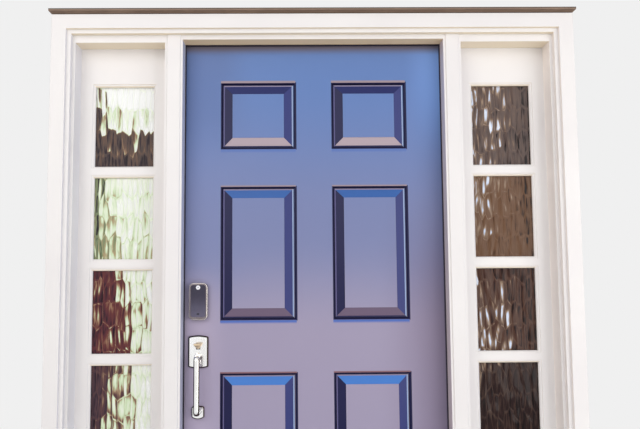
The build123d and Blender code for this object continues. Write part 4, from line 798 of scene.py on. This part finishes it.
class EntryDoorColours(bpy.types.PropertyGroup):
    """The colours of the paint, the metals and the touch panel."""

    white: colour_property("White", "Frame paint", tint(231, 228, 226))
    white_shade: colour_property("White, shaded", "Frame paint in its darker patches", tint(223, 219, 219))
    # Painted light on the frame: cooler where it faces right, warmer where it faces left, warm bounce light
    # where it faces down, and the same on the door's posts and under its head
    cool_side_light: colour_property("Cool side", "Frame paint where it faces right", tint(226, 227, 236))
    warm_side_light: colour_property("Warm side", "Frame paint where it faces left", tint(248, 238, 230))
    under_bounce_light: colour_property("Underside", "Frame paint where it faces down", tint(240, 225, 198))
    head_under_light: colour_property("Head, underside", "Paint under the door's head", tint(255, 224, 176))
    right_reveal_light: colour_property("Right reveal", "Paint of the door's posts where they face right",
                                  tint(188, 194, 218))
    left_reveal_light: colour_property("Left reveal", "Paint of the door's posts where they face left",
                                 tint(213, 198, 199))
    dust_tint: colour_property("Dust", "Dust near the floor and on ledges", tint(176, 164, 146))
    # Door paint with a painted reflection, bluer high up and greyer low down, painted light and shade at its
    # sides, and painted shade under the head
    high_field: colour_property("Door, high", "Door paint near its head", tint(97, 125, 179))
    middle_field: colour_property("Door, middle", "Door paint above the lock", tint(121, 129, 168))
    low_field: colour_property("Door, low", "Door paint below the lock rail", tint(156, 148, 172))
    latch_light: colour_property("Door, latch side", "Door paint low on its latch side", tint(178, 166, 188))
    latch_shade: colour_property("Door, latch side high", "Door paint high on its latch side",
                                 tint(92, 108, 152))
    hinge_shade: colour_property("Door, hinge side", "Door paint low on its hinge side", tint(108, 92, 114))
    hinge_light: colour_property("Door, hinge side high", "Door paint high on its hinge side",
                                 tint(119, 155, 217))
    head_shade: colour_property("Door, top edge", "Door paint close under the head", tint(110, 98, 100))
    # Painted light on the panels' bevels: painted shade where they face the sides, painted sky reflection or
    # shade where they face up, and painted warm bounce light where they face down
    left_bevel_shade: colour_property("Left bevel", "Bevels that face left", tint(15, 13, 58))
    right_bevel_shade: colour_property("Right bevel", "Bevels that face right", tint(50, 57, 116))
    high_top_bevel_shade: colour_property("Top bevel, high", "Upper bevels of the top panels", tint(36, 42, 94))
    low_top_bevel_sky_reflection: colour_property("Top bevel, low", "Upper bevels of the lower panels", tint(66, 120, 196))
    high_bottom_bevel_bounce: colour_property("Bottom bevel, high", "Lower bevels of the top panels",
                                       tint(176, 160, 168))
    low_bottom_bevel_bounce: colour_property("Bottom bevel, low", "Lower bevels of the other panels",
                                      tint(108, 92, 114))
    # Painted shade in the groove round a panel, and painted light and shade on the ledge inside it by its
    # side
    groove: colour_property("Groove", "Door paint in the groove round a panel", tint(8, 6, 54))
    ledge_left_shade: colour_property("Ledge, left", "Left ledge inside the groove", tint(92, 88, 132))
    ledge_right_glint: colour_property("Ledge, right", "Right ledge inside the groove", tint(158, 178, 214))
    ledge_head_glint: colour_property("Ledge, top", "Top ledge inside the groove", tint(136, 126, 150))
    ledge_foot_shade: colour_property("Ledge, bottom", "Bottom ledge inside the groove", tint(26, 26, 72))
    # Painted highlights on the flat door face just over each panel, and a painted sky reflection just under
    # it
    high_glint: colour_property("Eased edge, high", "Eased edge over the upper panels", tint(152, 136, 144))
    low_glint: colour_property("Eased edge, low", "Eased edge over the lower panels", tint(130, 96, 102))
    foot_glint: colour_property("Eased edge, foot", "Eased edge under a panel", tint(62, 100, 180))
    bronze: colour_property("Cap", "Coating of the drip cap", tint(120, 98, 82))
    # Painted shadow along the drip cap's upper and lower edges
    bronze_edge_shade: colour_property("Cap, edges", "Upper and lower edges of the drip cap", tint(34, 26, 24))
    bronze_worn: colour_property("Cap, worn", "Coating of the drip cap where it is worn", tint(156, 132, 112))
    nickel: colour_property("Satin nickel", "Inside lever and hinges", tint(196, 190, 178))
    bright: colour_property("Bright nickel", "Front of the handleset", tint(255, 255, 255))
    bright_shade: colour_property("Bright nickel, shaded", "Front of the handleset in patches",
                                  tint(222, 216, 206))
    # Painted shade on the handleset's edges and sides and on the keypad ring's walls; it also mottles the
    # ring's front
    edge_shade_and_mottle: colour_property("Nickel edge", "Edges and sides of the handleset", tint(86, 72, 70))
    thumb: colour_property("Thumbpiece", "Nickel of the thumbpiece", tint(226, 204, 172))
    bezel: colour_property("Bezel", "Front of the keypad's ring", tint(128, 120, 124))
    bezel_glint: colour_property("Bezel, edge", "Rounded edge of the keypad's ring", tint(236, 230, 222))
    keypad_high: colour_property("Keypad, high", "Touch panel near its top", tint(52, 48, 66))
    keypad_low: colour_property("Keypad, low", "Touch panel near its foot", tint(96, 92, 112))
    # Painted shade in the touch panel's slot and on its rim
    keypad_slot_shade: colour_property("Keypad slot", "Slot and rim of the touch panel", tint(16, 14, 20))
    steel: colour_property("Plated steel", "Latches and screws", tint(178, 178, 182))
    aluminium: colour_property("Aluminium", "Sill deck", tint(190, 190, 190))
    aluminium_worn: colour_property("Aluminium, worn", "Sill deck where it is scuffed", tint(142, 140, 136))


class EntryDoorGlass(bpy.types.PropertyGroup):
    """The ripples of the panes."""

    columns: IntProperty(name="Columns", description="Mesh steps across a pane", default=72, min=8)
    rows: IntProperty(name="Rows", description="Mesh steps up a pane", default=88, min=8)
    depth: FloatProperty(name="Depth", description="Height of the ripples", default=0.0011, unit="LENGTH")
    width: FloatProperty(name="Width", description="Spacing of the ripples across", default=0.019,
                         unit="LENGTH")
    length: FloatProperty(name="Length", description="Spacing of the ripples upward", default=0.076,
                          unit="LENGTH")


class EntryDoorStudio(bpy.types.PropertyGroup):
    """The studio's light and floor."""

    key_power: FloatProperty(name="Key", description="Power of the large front lamp", default=73.0,
                             unit="POWER")
    fill_power: FloatProperty(name="Fill", description="Power of the side lamp", default=74.0, unit="POWER")
    back_power: FloatProperty(name="Back", description="Power of the lamp behind the door", default=80.0,
                              unit="POWER")
    world_light: FloatProperty(name="World", description="Strength of the light from all round",
                               default=0.62)
    floor_size: FloatProperty(name="Floor", description="Width of the floor", default=40.0, unit="LENGTH")
    floor_colour: colour_property("Floor colour", "Pale floor", tint(236, 236, 236))
    backdrop_colour: colour_property("Backdrop", "What the camera sees behind", tint(240, 240, 240))


# Operators

class ENTRYDOOR_OT_paint_frame(bpy.types.Operator):
    """Paints the jambs, heads, casing and sashes"""

    bl_idname = "entrydoor.paint_frame"
    bl_label = "Paint the frame"

    def execute(self, context):
        look = context.scene.entry_door_colours
        sides = (look.cool_side_light, look.warm_side_light, look.under_bounce_light)
        reveals = (look.right_reveal_light, look.left_reveal_light, look.head_under_light)
        dress(UPRIGHTS, frame_paint("frame_paint_upright", BRUSHED_UP, look, *sides))
        dress(ACROSS, frame_paint("frame_paint_across", BRUSHED_ACROSS, look, *sides))
        dress(DOOR_POSTS, frame_paint("frame_paint_post", BRUSHED_UP, look, *reveals))
        dress(["door_head_jamb"], frame_paint("frame_paint_head", BRUSHED_ACROSS, look, *reveals))
        return {"FINISHED"}


class ENTRYDOOR_OT_paint_door(bpy.types.Operator):
    """Paints the door leaf"""

    bl_idname = "entrydoor.paint_door"
    bl_label = "Paint the door"

    def execute(self, context):
        dress(["door_slab"], door_paint(context.scene.entry_door_colours))
        return {"FINISHED"}


class ENTRYDOOR_OT_finish_sill(bpy.types.Operator):
    """Finishes the drip cap, sill, threshold and seals"""

    bl_idname = "entrydoor.finish_sill"
    bl_label = "Finish the sill and cap"

    def execute(self, context):
        look = context.scene.entry_door_colours
        dress(["drip_cap"], coated_metal(look))
        dress(["sill_deck"], sill_metal(look))
        dress(["sill_base"], grained_wood("sill_composite", light=tint(150, 145, 136),
                                          dark=tint(126, 120, 112), roughness=0.6))
        dress(["threshold_cap"], grained_wood("threshold_oak", light=tint(176, 132, 84),
                                              dark=tint(120, 80, 46), roughness=0.4))
        dress(["door_weatherstrip", "door_sweep"],
              speckled("dark_seal", tint(32, 25, 44), roughness=0.7, speckle=0.5, scale=300.0))
        return {"FINISHED"}


class ENTRYDOOR_OT_finish_fittings(bpy.types.Operator):
    """Finishes the locks, handles and hinges"""

    bl_idname = "entrydoor.finish_fittings"
    bl_label = "Finish the fittings"

    def execute(self, context):
        look = context.scene.entry_door_colours
        dress(SATIN_METAL, drawn_metal("satin_nickel", look.nickel, roughness=0.26, strength=0.12))
        dress(BRIGHT_METAL, handleset_metal("plate_nickel", look, front_turn=(0.9, 0.99)))
        dress(["handle_grip"], handleset_metal("grip_nickel", look, front_turn=(0.82, 0.95), upward=0.9))
        dress(["thumbpiece"], drawn_metal("thumb_nickel", look.thumb, roughness=0.3, strength=0.1))
        dress(["keypad_bezel"], bezel_metal(look))
        dress(PLATED_STEEL, drawn_metal("plated_steel", look.steel, roughness=0.34, strength=0.1))
        dress(["keypad_face"], keypad_glass(look))
        dress(["keypad_disc"],
              speckled("pale_disc", tint(236, 236, 240), roughness=0.25, speckle=0.2, scale=200.0))
        dress(["inside_lock_housing", "battery_cover"],
              speckled("housing_plastic", tint(172, 168, 160), roughness=0.38, speckle=0.35, scale=500.0))
        dress(["batteries"],
              speckled("battery_wrap", tint(58, 58, 64), roughness=0.3, speckle=0.4, scale=90.0))
        return {"FINISHED"}


class ENTRYDOOR_OT_glaze(bpy.types.Operator):
    """Makes the rippled panes of both sidelights"""

    bl_idname = "entrydoor.glaze"
    bl_label = "Glaze the sidelights"

    def execute(self, context):
        sizes = context.scene.entry_door_glass
        noise.seed_set(SWIRL_SEED)
        for node, side in zip(PANE_NODES, (LEFT_LIGHT, RIGHT_LIGHT)):
            material = rippled_glass(node + "_ripple", side, sizes)
            form = bmesh.new()
            for low, high in pane_boxes(node):
                add_pane(form, low, high, sizes)
            piece = new_object(node.replace("glass", "rippled"), form)
            piece.data.materials.append(material)
            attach(piece, "frame")
            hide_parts(node)
            piece.data.set_sharp_from_angle(angle=PANE_SHARP_ANGLE)
        return {"FINISHED"}


class ENTRYDOOR_OT_stage(bpy.types.Operator):
    """Lays the pale floor, sets the soft lamps and places the camera"""

    bl_idname = "entrydoor.stage"
    bl_label = "Set the stage"

    def execute(self, context):
        studio = context.scene.entry_door_studio
        context.scene.view_settings.view_transform = "Standard"
        lay_floor(studio)
        light_world(context.scene, studio)
        for name, (width, place, target, colour) in LAMPS.items():
            add_lamp(name + "_lamp", getattr(studio, name + "_power"), width, place, target, colour)
        place_camera(context.scene)
        return {"FINISHED"}


def lay_floor(studio):
    """A large pale floor under the sill, which fades into the backdrop."""
    form = bmesh.new()
    bmesh.ops.create_grid(form, x_segments=1, y_segments=1, size=studio.floor_size / 2)
    floor = new_object("floor", form)
    mix = new_material("floor_paper")
    cloud = mix.noise(mix.place(), scale=1.2, detail=2.0)
    colour = mix.blend(cloud, tuple(studio.floor_colour), darkened(studio.floor_colour, 0.97))
    across, deep, _ = mix.parts(mix.place())
    far = ((across * across + deep * deep) ** 0.5).ramp(*FLOOR_FADE)
    faded = far * (1.0 - NEAR_BACKDROP) + NEAR_BACKDROP
    paper = mix.add("ShaderNodeBsdfPrincipled", sockets={"Base Color": colour, "Roughness": 0.8})
    backdrop = mix.add("ShaderNodeEmission", sockets={"Color": tuple(studio.backdrop_colour)})
    shader = mix.add("ShaderNodeMixShader", sockets={0: faded * mix.seen(), 1: paper, 2: backdrop})
    floor.data.materials.append(mix.close(shader))


def light_world(scene, studio):
    """Even pale light, a little cooler from above and warmer from below, darker at the sides."""
    mix = Recipe(bpy.data.worlds.new("studio_air"))
    across, _, up = mix.parts(mix.place("Generated"))
    air = mix.blend(up.ramp(*AIR_RISE), AIR_LOW, AIR_HIGH)
    air = mix.blend(across.size().ramp(*AIR_SIDES) * AIR_SIDE_SHARE, air, AIR_SIDE)
    seen = mix.seen()
    colour = mix.blend(seen, air, tuple(studio.backdrop_colour))
    strength = studio.world_light + seen * (1.0 - studio.world_light)
    shader = mix.add("ShaderNodeBackground", sockets={"Color": colour, "Strength": strength})
    scene.world = mix.close(shader, output="ShaderNodeOutputWorld")


def add_lamp(name, power, width, place, target, colour):
    """A large soft lamp that looks at a point."""
    lamp = bpy.data.lights.new(name, "AREA")
    lamp.shape = "SQUARE"
    lamp.size = width
    lamp.energy = power
    lamp.color = colour
    holder = bpy.data.objects.new(name, lamp)
    bpy.context.scene.collection.objects.link(holder)
    holder.location = place
    holder.rotation_euler = (Vector(target) - Vector(place)).to_track_quat("-Z", "Y").to_euler()


def place_camera(scene):
    """The camera, a little above half the door's height and looking slightly up."""
    camera = bpy.data.cameras.new("camera")
    camera.sensor_width = SENSOR_WIDTH
    camera.lens = FOCAL_PIXELS / IMAGE_WIDTH * SENSOR_WIDTH
    camera.shift_x = (IMAGE_WIDTH / 2 - CENTRE_PIXEL) / IMAGE_WIDTH
    right = Vector((math.cos(CAMERA_YAW), math.sin(CAMERA_YAW), 0.0))
    level = Vector((-math.sin(CAMERA_YAW), math.cos(CAMERA_YAW), 0.0))
    up = Vector((0.0, 0.0, 1.0))
    ahead = level * math.cos(CAMERA_PITCH) + up * math.sin(CAMERA_PITCH)
    rise = up * math.cos(CAMERA_PITCH) - level * math.sin(CAMERA_PITCH)
    turned_right = right * math.cos(CAMERA_ROLL) + rise * math.sin(CAMERA_ROLL)
    turned_rise = rise * math.cos(CAMERA_ROLL) - right * math.sin(CAMERA_ROLL)
    axes = Matrix((turned_right, turned_rise, -ahead)).transposed().to_4x4()
    holder = bpy.data.objects.new("camera", camera)
    scene.collection.objects.link(holder)
    holder.matrix_world = Matrix.Translation(CAMERA_PLACE) @ axes
    scene.camera = holder


class ENTRYDOOR_PT_panel(bpy.types.Panel):
    """The entry door's operators, sizes and colours"""

    bl_idname = "ENTRYDOOR_PT_panel"
    bl_label = "Entry door"
    bl_space_type = "VIEW_3D"
    bl_region_type = "UI"
    bl_category = "Entry door"

    def draw(self, context):
        for operator in OPERATORS:
            self.layout.operator(operator.bl_idname)
        for group, kind in GROUPS.items():
            box = self.layout.box()
            for name in kind.__annotations__:
                box.prop(getattr(context.scene, group), name)


OPERATORS = (ENTRYDOOR_OT_paint_frame, ENTRYDOOR_OT_paint_door, ENTRYDOOR_OT_finish_sill,
             ENTRYDOOR_OT_finish_fittings, ENTRYDOOR_OT_glaze, ENTRYDOOR_OT_stage)
GROUPS = {"entry_door_colours": EntryDoorColours, "entry_door_glass": EntryDoorGlass,
          "entry_door_studio": EntryDoorStudio}


def register():
    for kind in (*GROUPS.values(), *OPERATORS, ENTRYDOOR_PT_panel):
        bpy.utils.register_class(kind)
    for name, kind in GROUPS.items():
        setattr(bpy.types.Scene, name, PointerProperty(type=kind))


def unregister():
    for name in GROUPS:
        delattr(bpy.types.Scene, name)
    for kind in (ENTRYDOOR_PT_panel, *reversed(OPERATORS), *reversed(tuple(GROUPS.values()))):
        bpy.utils.unregister_class(kind)


def main():
    register()
    for operator in OPERATORS:
        getattr(bpy.ops.entrydoor, operator.bl_idname.split(".")[1])()


if __name__ == "__main__":
    main()
